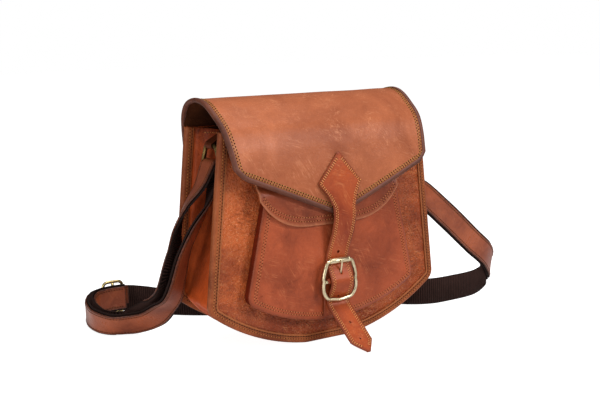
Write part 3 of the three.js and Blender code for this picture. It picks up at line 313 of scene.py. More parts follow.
# Studio: place of each light and the point that it faces, its size, all in metres, and its power
LIGHTS = {
    "front_softbox": ((-0.7, -1.7, 1.3), (0, 0, 0.1), (1.1, 0.8), 8.2),
    "side_softbox": ((-1.6, -0.6, 0.25), (-0.12, 0, 0.05), (0.6, 0.6), 8.5),
    "right_softbox": ((0.9, -1.6, 1.1), (0.05, 0, 0.1), (0.5, 0.4), 18),
    "top_softbox": ((0.1, -0.25, 1.8), (0, 0, 0), (0.8, 0.6), 21),
}
FLOOR_REACH = 6000
FLOOR_DROP = 0.4
FLOOR_COLOUR = (0.6, 0.6, 0.6, 1)
FLOOR_ROUGHNESS = 0.9
WHITE = (1, 1, 1, 1)
# Light that the floor and the surroundings give, and how bright the camera sees them
FLOOR_GLOW = (0.2, 0.94)
WORLD_GLOW = (0.1, 1.0)

# Viewpoint of the photograph: place in metres, then azimuth, elevation and roll in degrees
CAMERA_PLACE = (-0.50724, -0.81137, 0.29677)
CAMERA_ANGLES = (-31.64, 9.91, -1.0)
CAMERA_FOCUS_PX = 1003.4
CAMERA_NEAR = 0.01
FRAME_WIDTH_PX = 600
SENSOR_WIDTH = 36


# Nodes and materials

def add_node(tree, kind, inputs=None, **settings):
    node = tree.nodes.new(kind)
    for name, value in settings.items():
        setattr(node, name, value)
    for key, value in (inputs or {}).items():
        if isinstance(value, bpy.types.NodeSocket):
            tree.links.new(value, node.inputs[key])
        else:
            node.inputs[key].default_value = value
    return node


def calc(tree, operation, a, b=0.0, clamp=False):
    return add_node(tree, "ShaderNodeMath", {0: a, 1: b}, operation=operation, use_clamp=clamp).outputs[0]


def times(tree, a, b, clamp=False):
    return calc(tree, "MULTIPLY", a, b, clamp)


def plus(tree, a, b, clamp=False):
    return calc(tree, "ADD", a, b, clamp)


def stretched(tree, coords, by):
    return add_node(tree, "ShaderNodeVectorMath", {0: coords, 1: by}, operation="MULTIPLY").outputs[0]


def off_middle(tree, value):
    """How far a noise is from its middle, which it crosses along thin winding lines."""
    return calc(tree, "ABSOLUTE", calc(tree, "SUBTRACT", value, 0.5))


def blend_colour(tree, share, a, b):
    return add_node(tree, "ShaderNodeMix", {0: share, 6: a, 7: b}, data_type="RGBA").outputs[2]


def ramp(tree, value, low, high, to_low=0.0, to_high=1.0):
    limits = {0: value, 1: low, 2: high, 3: to_low, 4: to_high}
    return add_node(tree, "ShaderNodeMapRange", limits).outputs[0]


def noise(tree, coords, scale, detail=3.0, roughness=0.55, distortion=0.0):
    return add_node(tree, "ShaderNodeTexNoise", {
        "Vector": coords, "Scale": scale, "Detail": detail, "Roughness": roughness,
        "Distortion": distortion}).outputs[0]


def srgb(red, green, blue):
    """Colour from 0-255 screen values."""
    def straight(c):
        c /= 255
        return c / 12.92 if c <= 0.04045 else ((c + 0.055) / 1.055) ** 2.4
    return (straight(red), straight(green), straight(blue), 1.0)


def new_group(name, kind, sockets_in, sockets_out):
    """Empty node group with named sockets, and its input and output nodes."""
    tree = bpy.data.node_groups.new(name, kind)
    for label, socket_type, value in sockets_in:
        socket = tree.interface.new_socket(label, in_out="INPUT", socket_type=socket_type)
        if value is not None:
            socket.default_value = value
    for label, socket_type in sockets_out:
        tree.interface.new_socket(label, in_out="OUTPUT", socket_type=socket_type)
    return tree, tree.nodes.new("NodeGroupInput").outputs, tree.nodes.new("NodeGroupOutput").inputs


# What each finish puts out
FINISH_OUTPUTS = [
    ("Colour", "NodeSocketColor"), ("Roughness", "NodeSocketFloat"), ("Height", "NodeSocketFloat"),
]


def make_leather_group():
    """Waxed leather: cloudy dye, crumpled grain, pull creases, wear flecks, scratches and edge wear, with
    painted shade low down. Some finishes also use the flecks as painted glints and the edge colour as
    painted shade and reflection.
    """
    tree, given, made = new_group("waxed_leather", "ShaderNodeTree", [
        ("Light Dye", "NodeSocketColor", (0.5, 0.2, 0.1, 1)),
        ("Dark Dye", "NodeSocketColor", (0.2, 0.06, 0.03, 1)),
        ("Rubbed Edge", "NodeSocketColor", (0.3, 0.15, 0.1, 1)),
        ("Bare Hide", "NodeSocketColor", (0.6, 0.32, 0.18, 1)),
        ("Fleck Share", "NodeSocketFloat", 0.25),
        ("Scratch Share", "NodeSocketFloat", 0.25),
        ("Cloud Scale", "NodeSocketFloat", 22.0),
        ("Pebble Scale", "NodeSocketFloat", 900.0),
        ("Crumple Depth", "NodeSocketFloat", 0.3),
        ("Crease Scale", "NodeSocketFloat", 60.0),
        ("Crease Draw", "NodeSocketVector", (1.0, 1.0, 1.0)),
        ("Crease Depth", "NodeSocketFloat", 0.4),
        ("Edge Wear", "NodeSocketFloat", 0.6),
        ("Sheen Level", "NodeSocketFloat", 0.45),
        ("Grime Height", "NodeSocketFloat", 0.0),
    ], FINISH_OUTPUTS)
    coords = add_node(tree, "ShaderNodeTexCoord").outputs["Object"]
    # Clouds, fine grain, scuffs, pebbles, crumples and flecks of the hide; on the panel the flecks are
    # painted glints
    cloud = noise(tree, coords, given["Cloud Scale"], 5.0, 0.62, 0.6)
    fine = noise(tree, coords, 420.0, 4.0, 0.7)
    scuff = ramp(tree, noise(tree, coords, 130.0, 6.0, 0.75, 1.2), 0.56, 0.74)
    pebble = add_node(tree, "ShaderNodeTexVoronoi", {
        "Vector": coords, "Scale": given["Pebble Scale"]}).outputs["Distance"]
    crumple = off_middle(tree, noise(tree, coords, 210.0, 3.0, 0.6, 0.5))
    fleck_and_glint = ramp(tree, noise(tree, coords, 650.0, 4.0, 0.8), 0.57, 0.7)
    fleck_and_glint = times(tree, times(tree, fleck_and_glint, ramp(tree, cloud, 0.35, 0.6)), given["Fleck Share"])
    # Scratches that lean two ways
    scratch = 0.0
    for lean, stretch in ((0.5, (1.0, 1.0, 0.07)), (-0.35, (0.06, 1.0, 1.0))):
        leant = add_node(tree, "ShaderNodeVectorRotate", {
            "Vector": coords, "Angle": lean}, rotation_type="Y_AXIS").outputs[0]
        hair = off_middle(tree, noise(tree, stretched(tree, leant, stretch), 260.0, 2.0))
        where = ramp(tree, noise(tree, leant, 48.0, 3.0, 0.7), 0.52, 0.66)
        scratch = plus(tree, times(tree, ramp(tree, hair, 0.0, 0.035, 1.0, 0.0), where), scratch)
    scratch = times(tree, scratch, given["Scratch Share"], clamp=True)
    # Creases along a pull, in some places only
    swell = noise(tree, stretched(tree, coords, given["Crease Draw"]), given["Crease Scale"], 3.0, 0.6, 0.7)
    line = ramp(tree, off_middle(tree, swell), 0.0, 0.07, 1.0, 0.0)
    some = ramp(tree, noise(tree, coords, 34.0, 2.0), 0.4, 0.62)
    crease = times(tree, times(tree, line, some), given["Crease Depth"])
    # Wear by the cut edges, which on the gusset's top is painted shade and on the flap's binding partly a
    # painted reflection
    rim = add_node(tree, "ShaderNodeAttribute", attribute_name="rim").outputs["Fac"]
    worn_and_painted_light = times(tree, calc(tree, "POWER", rim, 2.2), ramp(tree, fine, 0.25, 0.7, 0.45, 1.1))
    worn_and_painted_light = times(tree, worn_and_painted_light, given["Edge Wear"], clamp=True)
    # Dye, from its clouds to the painted shade low down and the Bare Hide colour, which on the panel gives
    # painted glints
    dye = blend_colour(tree, ramp(tree, cloud, 0.32, 0.68), given["Dark Dye"], given["Light Dye"])
    dye = blend_colour(tree, times(tree, scuff, 0.3), dye, given["Light Dye"])
    dye = blend_colour(tree, ramp(tree, fine, 0.45, 0.75, 0.0, 0.22), dye, given["Dark Dye"])
    dye = blend_colour(tree, times(tree, crease, 0.7, clamp=True), dye, given["Dark Dye"])
    dye = blend_colour(tree, worn_and_painted_light, dye, given["Rubbed Edge"])
    # Painted shade: the dye darkens towards the bottom, below the given height
    above = add_node(tree, "ShaderNodeSeparateXYZ", {0: coords}).outputs[2]
    painted_low_shade = ramp(tree, calc(tree, "SUBTRACT", above, given["Grime Height"]), -0.025, 0.01, 1.0, 0.0)
    painted_low_shade = times(tree, painted_low_shade, ramp(tree, cloud, 0.25, 0.7, 1.0, 0.55))
    dye = blend_colour(tree, painted_low_shade, dye, given["Dark Dye"])
    dye = blend_colour(tree, calc(tree, "MAXIMUM", fleck_and_glint, scratch), dye, given["Bare Hide"])
    tree.links.new(dye, made["Colour"])
    # Roughness and relief
    rough = plus(tree, given["Sheen Level"], ramp(tree, cloud, 0.3, 0.7, 0.08, -0.08))
    rough = plus(tree, rough, ramp(tree, fine, 0.3, 0.7, -0.06, 0.08))
    tree.links.new(plus(tree, rough, times(tree, worn_and_painted_light, 0.12)), made["Roughness"])
    height = plus(tree, times(tree, pebble, 0.45), times(tree, fine, 0.5))
    height = plus(tree, height, times(tree, scuff, 0.12))
    height = calc(tree, "SUBTRACT", height, times(tree, scratch, 0.2))
    height = plus(tree, height, times(tree, crumple, given["Crumple Depth"]))
    tree.links.new(calc(tree, "SUBTRACT", height, crease), made["Height"])
    return tree


def make_tarnish_group():
    """Old brass: pale metal with brown tarnish and small pits."""
    tree, given, made = new_group("old_brass", "ShaderNodeTree", [
        ("Bright", "NodeSocketColor", (0.6, 0.45, 0.2, 1)),
        ("Tarnish", "NodeSocketColor", (0.15, 0.09, 0.04, 1)),
        ("Tarnish Share", "NodeSocketFloat", 0.5),
    ], FINISH_OUTPUTS)
    coords = add_node(tree, "ShaderNodeTexCoord").outputs["Object"]
    patch = ramp(tree, noise(tree, coords, 170.0, 5.0, 0.7, 0.8), 0.42, 0.72)
    pits = noise(tree, coords, 1500.0, 3.0, 0.6)
    share = times(tree, patch, given["Tarnish Share"], clamp=True)
    tree.links.new(blend_colour(tree, share, given["Bright"], given["Tarnish"]), made["Colour"])
    rough = plus(tree, ramp(tree, patch, 0, 1, 0.24, 0.46), ramp(tree, pits, 0.3, 0.7, 0, 0.08))
    tree.links.new(rough, made["Roughness"])
    tree.links.new(pits, made["Height"])
    return tree


def make_weave_group():
    """Woven yarn: fine twisted strands across the band and a little dust."""
    tree, given, made = new_group("woven_yarn", "ShaderNodeTree", [
        ("Yarn", "NodeSocketColor", (0.03, 0.015, 0.012, 1)),
        ("Lint", "NodeSocketColor", (0.08, 0.05, 0.045, 1)),
        ("Strand Pitch", "NodeSocketFloat", 0.0011),
    ], FINISH_OUTPUTS)
    texture = add_node(tree, "ShaderNodeTexCoord")
    coords = texture.outputs["Object"]
    lengths = add_node(tree, "ShaderNodeSeparateXYZ", {0: texture.outputs["UV"]}).outputs
    across = calc(tree, "DIVIDE", lengths[1], given["Strand Pitch"])
    strand = calc(tree, "SINE", times(tree, across, 2 * math.pi))
    along = calc(tree, "SINE", times(tree, lengths[0], 2 * math.pi / (2 * RIB_PITCH * MM)))
    fuzz = noise(tree, coords, 900.0, 4.0, 0.75)
    dust = ramp(tree, noise(tree, coords, 60.0, 4.0, 0.7), 0.4, 0.75, 0.0, 0.6)
    share = plus(tree, ramp(tree, strand, -1, 1, 0, 0.35), times(tree, fuzz, dust), clamp=True)
    tree.links.new(blend_colour(tree, share, given["Yarn"], given["Lint"]), made["Colour"])
    tree.links.new(ramp(tree, fuzz, 0.2, 0.8, 0.78, 0.98), made["Roughness"])
    woven = times(tree, strand, ramp(tree, along, -1, 1, 0.4, 1.0))
    tree.links.new(plus(tree, woven, fuzz), made["Height"])
    return tree


LEATHER_GROUP = make_leather_group()
TARNISH_GROUP = make_tarnish_group()
WEAVE_GROUP = make_weave_group()
# Depths of the relief and widths of the yarn's strands, in metres
LEATHER_RELIEF = 0.0008
FINE_RELIEF = 0.0003
WEBBING_STRAND = 0.0011
THREAD_STRAND = 0.0008


def make_finish(name, group, values, bump, bump_distance, **sockets):
    """Material whose colour, roughness and relief come from one of the groups."""
    material = bpy.data.materials.new(name)
    material.use_nodes = True
    tree = material.node_tree
    shader = tree.nodes["Principled BSDF"]
    skin = add_node(tree, "ShaderNodeGroup", node_tree=group)
    for label, value in values.items():
        skin.inputs[label].default_value = value
    tree.links.new(skin.outputs["Colour"], shader.inputs["Base Color"])
    tree.links.new(skin.outputs["Roughness"], shader.inputs["Roughness"])
    relief = add_node(tree, "ShaderNodeBump", {
        "Height": skin.outputs["Height"], "Strength": bump, "Distance": bump_distance})
    tree.links.new(relief.outputs[0], shader.inputs["Normal"])
    for label, value in sockets.items():
        shader.inputs[label.replace("_", " ")].default_value = value
    return material


def leather(name, light, dark, edge, bare_and_glint, bump=0.35, coat=0.06, shine=0.22,
            shine_tint=(255, 255, 255), **values):
    """Leather from its light and dark dye, its edge wear colour and its Bare Hide colour, in screen values.
    The edge colour is painted shade on the gusset and partly a painted reflection on the flap's binding;
    the Bare Hide colour gives painted glints on the panel.
    """
    settings = {"Light Dye": srgb(*light), "Dark Dye": srgb(*dark), "Rubbed Edge": srgb(*edge),
                "Bare Hide": srgb(*bare_and_glint)}
    settings.update({label.replace("_", " "): value for label, value in values.items()})
    return make_finish(name, LEATHER_GROUP, settings, bump, LEATHER_RELIEF,
                       Coat_Weight=coat, Coat_Roughness=0.28, Specular_IOR_Level=shine,
                       Specular_Tint=srgb(*shine_tint))


# The panel darkens towards its bottom as painted shade, and its pale flecks are painted glints
PANEL = leather(
    "panel_leather", (207, 103, 53), (128, 52, 26), (104, 52, 28), (248, 172, 112),
    bump=1.1, coat=0.03, shine=0.36, shine_tint=(255, 226, 204), Sheen_Level=0.26, Pebble_Scale=520.0,
    Crumple_Depth=2.4, Crease_Scale=120.0, Crease_Draw=(1.0, 1.0, 2.2), Crease_Depth=0.5, Fleck_Share=0.85,
    Grime_Height=0.045)
# The gusset's dark edge colour reaches far down from its top edges: painted shade under the flap
GUSSET = leather(
    "gusset_leather", (212, 92, 41), (146, 58, 22), (76, 27, 11), (198, 98, 46),
    bump=0.4, coat=0.03, shine=0.08, Sheen_Level=0.5, Crumple_Depth=0.5, Edge_Wear=1.0)
POCKET = leather(
    "pocket_leather", (180, 84, 48), (126, 53, 27), (104, 46, 24), (206, 118, 76),
    Sheen_Level=0.42, Scratch_Share=0.4)
# Dark leather for the pocket's wall: painted shade
SHADED_POCKET_WALL = leather(
    "pocket_wall_painted_shade_leather", (112, 36, 14), (72, 18, 6), (92, 36, 16), (140, 70, 38),
    bump=0.4, coat=0.02, shine=0.08, Sheen_Level=0.55)
# Dark leather for the ring tabs: painted shade
SHADED_TAB = leather(
    "tab_painted_shade_leather", (104, 46, 22), (68, 28, 12), (84, 40, 22), (140, 76, 42),
    bump=0.4, coat=0.02, shine=0.08, Sheen_Level=0.5)
# A darker copy of the pocket's leather for its flap: painted shade under the main flap
SHADED_POCKET_FLAP = leather(
    "pocket_flap_painted_shade_leather", (160, 74, 42), (108, 46, 24), (184, 116, 80), (196, 116, 78),
    Sheen_Level=0.46, Scratch_Share=0.4, Edge_Wear=0.8)
FLAP = leather(
    "flap_leather", (184, 106, 70), (141, 73, 45), (120, 62, 36), (228, 156, 114),
    bump=0.35, coat=0.03, shine=0.15, Sheen_Level=0.4, Cloud_Scale=14.0, Crease_Scale=40.0,
    Crease_Depth=0.3, Scratch_Share=0.34, Fleck_Share=0.35)
# The binding's grey-mauve edge colour is partly wear and partly a painted reflection of grey light
FLAP_EDGE = leather(
    "flap_edge_leather", (116, 68, 52), (80, 46, 36), (122, 88, 82), (156, 110, 92),
    bump=0.4, coat=0.02, shine=0.12, Sheen_Level=0.5, Fleck_Share=0.4)
EDGE = leather(
    "edge_leather", (174, 92, 50), (114, 54, 28), (184, 112, 66), (210, 140, 86),
    bump=0.45, coat=0.04, shine=0.16, Sheen_Level=0.5, Fleck_Share=0.6)
CLOSURE = leather(
    "closure_leather", (177, 80, 38), (129, 47, 19), (92, 42, 22), (216, 132, 80),
    Sheen_Level=0.42, Scratch_Share=0.4)
STRAP = leather(
    "strap_leather", (172, 88, 53), (116, 52, 30), (66, 36, 26), (200, 126, 88),
    bump=0.3, coat=0.1, shine=0.26, Sheen_Level=0.35, Edge_Wear=1.0)
SUEDE = leather(
    "suede_inside", (96, 50, 26), (58, 28, 14), (80, 42, 24), (120, 70, 40),
    bump=0.5, coat=0.0, shine=0.1, Sheen_Level=0.85, Crease_Depth=0.1)


def brass(name, bright, tarnish, share):
    values = {"Bright": srgb(*bright), "Tarnish": srgb(*tarnish), "Tarnish Share": share}
    return make_finish(name, TARNISH_GROUP, values, bump=0.15, bump_distance=FINE_RELIEF, Metallic=1.0)


BRASS = brass("old_brass", (150, 124, 74), (62, 46, 26), 0.95)
BUCKLE_BRASS = brass("buckle_brass", (226, 212, 176), (136, 112, 74), 0.6)
STRAP_BRASS = brass("strap_buckle_brass", (218, 198, 138), (112, 86, 46), 0.7)


def yarn(name, dark, light, pitch=THREAD_STRAND, shine=0.2):
    values = {"Yarn": srgb(*dark), "Lint": srgb(*light), "Strand Pitch": pitch}
    return make_finish(name, WEAVE_GROUP, values, bump=0.45, bump_distance=FINE_RELIEF,
                       Specular_IOR_Level=shine)


WEBBING = yarn("woven_webbing", (28, 16, 13), (46, 31, 27), WEBBING_STRAND, 0.12)
WEBBING_RIB = yarn("webbing_rib", (43, 26, 22), (72, 49, 44), WEBBING_STRAND, 0.12)
# Dark discs at the needle holes: painted shade in the holes
NEEDLE_HOLE_SHADE = yarn("needle_hole_shade", (46, 19, 10), (68, 31, 16), WEBBING_STRAND, 0.05)
OCHRE_THREAD = yarn("ochre_thread", (150, 108, 48), (214, 172, 100))
BROWN_THREAD = yarn("brown_thread", (166, 98, 50), (210, 148, 92))
DARK_THREAD = yarn("dark_thread", (92, 54, 30), (132, 86, 52))
TAN_THREAD = yarn("tan_thread", (176, 102, 60), (216, 146, 98))
ORANGE_THREAD = yarn("orange_thread", (212, 138, 80), (242, 184, 122))


# Curves and surfaces

def unit(vectors):
    return vectors / np.maximum(np.linalg.norm(vectors, axis=-1, keepdims=True), 1e-9)


def table_curve(rows, even=True):
    """Smooth curve through the rows of a table, read at fractional rows.
    Where the rows aren't even, their distances keep the curve from swinging wide."""
    p = np.array(rows, float)
    p = np.vstack([2 * p[0] - p[1], p, 2 * p[-1] - p[-2]])
    last = len(rows) - 1
    step = np.ones(len(p) - 1)
    if not even:
        step = np.sqrt(np.linalg.norm(np.diff(p, axis=0), axis=1))

    def at(t):
        t = np.clip(np.asarray(t, float), 0, last)
        k = np.minimum(t.astype(int), last - 1)
        f = (t - k)[..., None]
        a, b, c, d = p[k], p[k + 1], p[k + 2], p[k + 3]
        before, here, after = (np.asarray(step[k + i])[..., None] for i in range(3))
        here = np.where(here < SHORT_STEP, 1.0, here)
        before = np.where(before < SHORT_STEP, here, before)
        after = np.where(after < SHORT_STEP, here, after)
        m = ((b - a) / before - (c - a) / (before + here) + (c - b) / here) * here
        n = ((c - b) / here - (d - b) / (here + after) + (d - c) / after) * here
        return b + m * f + (3 * (c - b) - 2 * m - n) * f ** 2 + (2 * (b - c) + m + n) * f ** 3
    return at


def lengths_along(points):
    steps = np.linalg.norm(np.diff(points, axis=0), axis=-1)
    return np.concatenate([np.zeros((1,) + steps.shape[1:]), np.cumsum(steps, axis=0)])


def rounded_line(points, radius, steps=5, closed=False):
    """Line through points with its corners rounded; it always has the same number of points."""
    p = np.array(points, float)
    count = len(p)
    made = [] if closed else [p[0]]
    for i in range(count) if closed else range(1, count - 1):
        before, here, after = p[i - 1], p[i], p[(i + 1) % count]
        reach_in = min(radius, np.linalg.norm(before - here) * CORNER_SHARE)
        reach_out = min(radius, np.linalg.norm(after - here) * CORNER_SHARE)
        start = here + unit(before - here) * reach_in
        end = here + unit(after - here) * reach_out
        for f in np.linspace(0, 1, steps):
            made.append((1 - f) ** 2 * start + 2 * f * (1 - f) * here + f ** 2 * end)
    if not closed:
        made.append(p[-1])
    return np.array(made)


def filled_in(points, longest):
    """The same line with points added where they lie further apart than longest."""
    made = [points[0]]
    for a, b in zip(points[:-1], points[1:]):
        count = max(1, math.ceil(np.linalg.norm(b - a) / longest))
        made.extend(a + (b - a) * k / count for k in range(1, count + 1))
    return np.array(made)


def edge_spread(half, count, near=(0, 0.5, 1.1, 1.9, 2.9, 4.2, 5.6)):
    """Places from -half to half, closer together at both ends."""
    near = np.array(near, float) * min(1.0, half / (2.2 * near[-1]))
    inner = np.linspace(-half + near[-1], half - near[-1], count)
    return np.concatenate([-half + near[:-1], inner, half - near[:-1][::-1]])


def crossed(a, b):
    """Grids of two lists of places, the first down the rows and the second across the columns."""
    return np.meshgrid(a, b, indexing="ij")


def fade(value, start, rate):
    """0 up to the start, then rising at a rate to 1."""
    return np.clip((value - start) * rate, 0, 1)


def wobble(points, size):
    """Soft unevenness between -1 and 1 that repeats at no short distance; size is a wave's length."""
    x, y, z = (points[..., k] * (2 * math.pi / size) for k in range(3))
    total = np.sin(0.9 * x + 0.5 * z) * np.cos(0.7 * z - 0.4 * x + 0.3 * y)
    total = total + 0.6 * np.sin(1.7 * x - 1.3 * z + 0.8 * y + 2.1)
    total = total + 0.4 * np.cos(2.3 * z + 1.1 * x - 1.9 * y)
    return total / 2


# Meshes

def mesh_of(name, points, faces=()):
    """Mesh from points in millimetres."""
    mesh = bpy.data.meshes.new(name)
    mesh.from_pydata((np.asarray(points) * MM).tolist(), [], faces)
    return mesh


def add_object(name, data):
    added = bpy.data.objects.new(name, data)
    scene.collection.objects.link(added)
    return added


def turn_outwards(mesh, seam=None):
    """Turns a closed mesh's faces outwards, once the points of its seam are joined."""
    skin = bmesh.new()
    skin.from_mesh(mesh)
    if seam is not None:
        skin.verts.ensure_lookup_table()
        bmesh.ops.remove_doubles(skin, verts=[skin.verts[i] for i in seam], dist=SEAM_JOIN * MM)
    bmesh.ops.recalc_face_normals(skin, faces=skin.faces)
    skin.to_mesh(mesh)
    skin.free()


def plain_mesh(piece):
    """Replaces a piece's mesh by what its modifiers make of it."""
    graph = bpy.context.evaluated_depsgraph_get()
    made = bpy.data.meshes.new_from_object(piece.evaluated_get(graph))
    piece.modifiers.clear()
    piece.data = made


def cut_out(piece, cutter):
    tool_mesh = mesh_of("cutter", *cutter)
    turn_outwards(tool_mesh)
    tool = add_object("cutter", tool_mesh)
    cut = piece.modifiers.new("cut", "BOOLEAN")
    cut.operation = "DIFFERENCE"
    cut.solver = "MANIFOLD"
    cut.object = tool
    plain_mesh(piece)
    bpy.data.objects.remove(tool)


def settle(piece, slot, node=None):
    """Smooths a finished piece, gives it its body and hides the CAD node that it stands for. The slot is
    not used.
    """
    piece.data.polygons.foreach_set("use_smooth", np.ones(len(piece.data.polygons), bool))
    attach(piece, "root")
    if node:
        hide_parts(node)


def dress(name, points, faces, finish, slot, rim=None, uv=None, seam=None, cutter=None, lined=None):
    """Piece that stands for the CAD node of its name.
    Lined faces, given as a range of them, have the suede of the leather's inside."""
    mesh = mesh_of(name, points, faces)
    mesh.materials.append(finish)
    if lined:
        mesh.materials.append(SUEDE)
        which = np.zeros(len(mesh.polygons), np.int32)
        which[lined[0]:lined[1]] = 1
        mesh.polygons.foreach_set("material_index", which)
    if rim is not None:
        mesh.attributes.new("rim", "FLOAT", "POINT").data.foreach_set("value", rim.astype(np.float32))
    if uv is not None:
        layer = mesh.uv_layers.new(name="length_width")
        corner = np.zeros(len(mesh.loops), np.int32)
        mesh.loops.foreach_get("vertex_index", corner)
        layer.data.foreach_set("uv", (uv.astype(np.float32) * MM)[corner].ravel())
    turn_outwards(mesh, seam)
    piece = add_object(f"finished_{name}", mesh)
    if cutter:
        cut_out(piece, cutter)
    settle(piece, slot, name)


def ring_quads(index, closed):
    """Faces between neighbouring rings of points, and from the last ring to the first where closed."""
    here = index if closed else index[:-1]
    after = np.roll(index, -1, axis=0) if closed else index[1:]
    quads = np.stack([here, after, np.roll(after, -1, axis=1), np.roll(here, -1, axis=1)], -1)
    return quads.reshape(-1, 4).tolist()


def prism(centre, axis, side, half_side, half_up, reach, corners=20):
    """Points and faces of a punch along an axis: an oval, or a box where it has four corners."""
    axis = unit(np.array(axis, float))
    side = unit(np.array(side, float))
    up = np.cross(axis, side)
    start = math.pi / 4 if corners == 4 else 0.0
    grown = math.sqrt(2) if corners == 4 else 1.0
    turns = start + np.arange(corners) * 2 * math.pi / corners
    ring = np.array([side * half_side * math.cos(t) + up * half_up * math.sin(t) for t in turns]) * grown
    points = np.concatenate([centre + ring - axis * reach, centre + ring + axis * reach])
    ends = np.arange(2 * corners).reshape(2, corners)
    return points, ends.tolist() + ring_quads(ends, False)


def together(parts):
    """Points and faces of several shapes as one."""
    points, faces, shift = [], [], 0
    for part_points, part_faces in parts:
        points.append(part_points)
        faces.extend([[i + shift for i in face] for face in part_faces])
        shift += len(part_points)
    return np.concatenate(points), faces


def sheet_border(rows, cols, core):
    """Rows and columns of a grid's border in order; with a core, the last column isn't part of it."""
    first_column = [(i, 0) for i in range(rows)]
    last_row = [(rows - 1, j) for j in range(1, cols)]
    if core:
        border = [(0, j) for j in range(cols - 1, 0, -1)] + first_column + last_row
    else:
        last_column = [(i, cols - 1) for i in range(rows - 2, -1, -1)]
        border = first_column + last_row + last_column + [(0, j) for j in range(cols - 2, 0, -1)]
    return np.array(border).T


def sheet(name, grid, thick, finish, slot, cut_edges="abcd", facing=None, core=False, cutter=None,
          rim_reach=6.0, suede=None):
    """Closed sheet of leather round a grid of points on its middle surface, with rounded edges.
    Edges a and b are the first and last rows of the grid, c and d its first and last columns. The cut
    ones show edge wear as far as rim_reach; on the gusset this is painted shade, and on the flap's binding
    partly a painted reflection. With a core, the last column is a seam in the middle, where the sheet
    joins itself. Suede lines the "near" face, which the grid's normal points to, or the "far" one."""
    rows, cols = grid.shape[:2]
    size = rows * cols
    half = thick / 2
    down, across = unit(np.gradient(grid, axis=0)), unit(np.gradient(grid, axis=1))
    normal = unit(np.cross(down, across)) if facing is None else np.broadcast_to(facing, grid.shape)
    i, j = sheet_border(rows, cols, core)
    lead_down = 1.0 * (i == rows - 1) - (i == 0)
    lead_across = (0.0 if core else 1.0) * (j == cols - 1) - (j == 0)
    out = unit(down[i, j] * lead_down[:, None] + across[i, j] * lead_across[:, None])
    rounding = [half * (math.cos(turn) * out + math.sin(turn) * normal[i, j]) for turn in RIM_TURNS]
    points = np.concatenate([(grid + half * normal).reshape(-1, 3), (grid - half * normal).reshape(-1, 3),
                             *[grid[i, j] + way for way in rounding]])

    near = np.arange(size).reshape(rows, cols)
    far = near + size
    rim = 2 * size + np.arange(len(RIM_TURNS) * len(i)).reshape(len(RIM_TURNS), -1)
    face = np.stack([near[:-1, :-1], near[1:, :-1], near[1:, 1:], near[:-1, 1:]], -1).reshape(-1, 4)
    chain = np.vstack([near[i, j], rim, far[i, j]])
    here, after = (chain[:, :-1], chain[:, 1:]) if core else (chain, np.roll(chain, -1, axis=1))
    edge = np.stack([here[:-1], after[:-1], after[1:], here[1:]], -1).reshape(-1, 4)
    faces = np.concatenate([face, face[:, ::-1] + size, edge])

    def for_points(values):
        flat = values.reshape(size, -1)
        return np.concatenate([flat, flat] + [values[i, j].reshape(len(i), -1)] * len(RIM_TURNS))
    length, width = lengths_along(grid), lengths_along(grid.swapaxes(0, 1)).T
    to_edge = np.full((rows, cols), np.inf)
    for label, distance in zip("abcd", (length, length[-1] - length, width, width[:, -1:] - width)):
        if label in cut_edges:
            to_edge = np.minimum(to_edge, distance)
    rubbed_and_painted_light = np.clip(1 - to_edge / rim_reach, 0, 1)
    uv = np.stack(np.broadcast_arrays(length[:, cols // 2, None], width[rows // 2]), -1)
    lined = {"near": (0, len(face)), "far": (len(face), 2 * len(face))}.get(suede)
    seam = np.concatenate([near[:, -1], far[:, -1], rim[:, [0, -1]].ravel()]) if core else None
    dress(name, points, faces.tolist(), finish, slot,
          for_points(rubbed_and_painted_light).ravel(), for_points(uv), seam, cutter, lined)


def tube(line, radii, plane, sides, closed):
    """Points and faces of a round wire along a line that lies near one plane."""
    line = np.asarray(line, float)
    if closed:
        tangent = unit(np.roll(line, -1, axis=0) - np.roll(line, 1, axis=0))
    else:
        tangent = unit(np.gradient(line, axis=0))
    side = unit(np.cross(np.array(plane, float), tangent))
    rise = np.cross(tangent, side)
    turns = np.arange(sides) * 2 * math.pi / sides
    ring = side[:, None] * np.cos(turns)[:, None] + rise[:, None] * np.sin(turns)[:, None]
    points = line[:, None] + ring * np.broadcast_to(radii, len(line))[:, None, None]
    index = np.arange(len(line) * sides).reshape(len(line), sides)
    faces = ring_quads(index, closed)
    if not closed:
        faces += [index[0][::-1].tolist(), index[-1].tolist()]
    return points.reshape(-1, 3), faces


def wire(name, path, plane, radius, finish, closed=True, sides=16, bars=()):
    """Brass wire; bars are straight pins that join it."""
    parts = [tube(path, radius, plane, sides, closed)]
    parts += [tube(line, bar_radius, plane, sides, False) for line, bar_radius in bars]
    dress(name, *together(parts), finish, "brass")


# Sewing

SEWN = {}


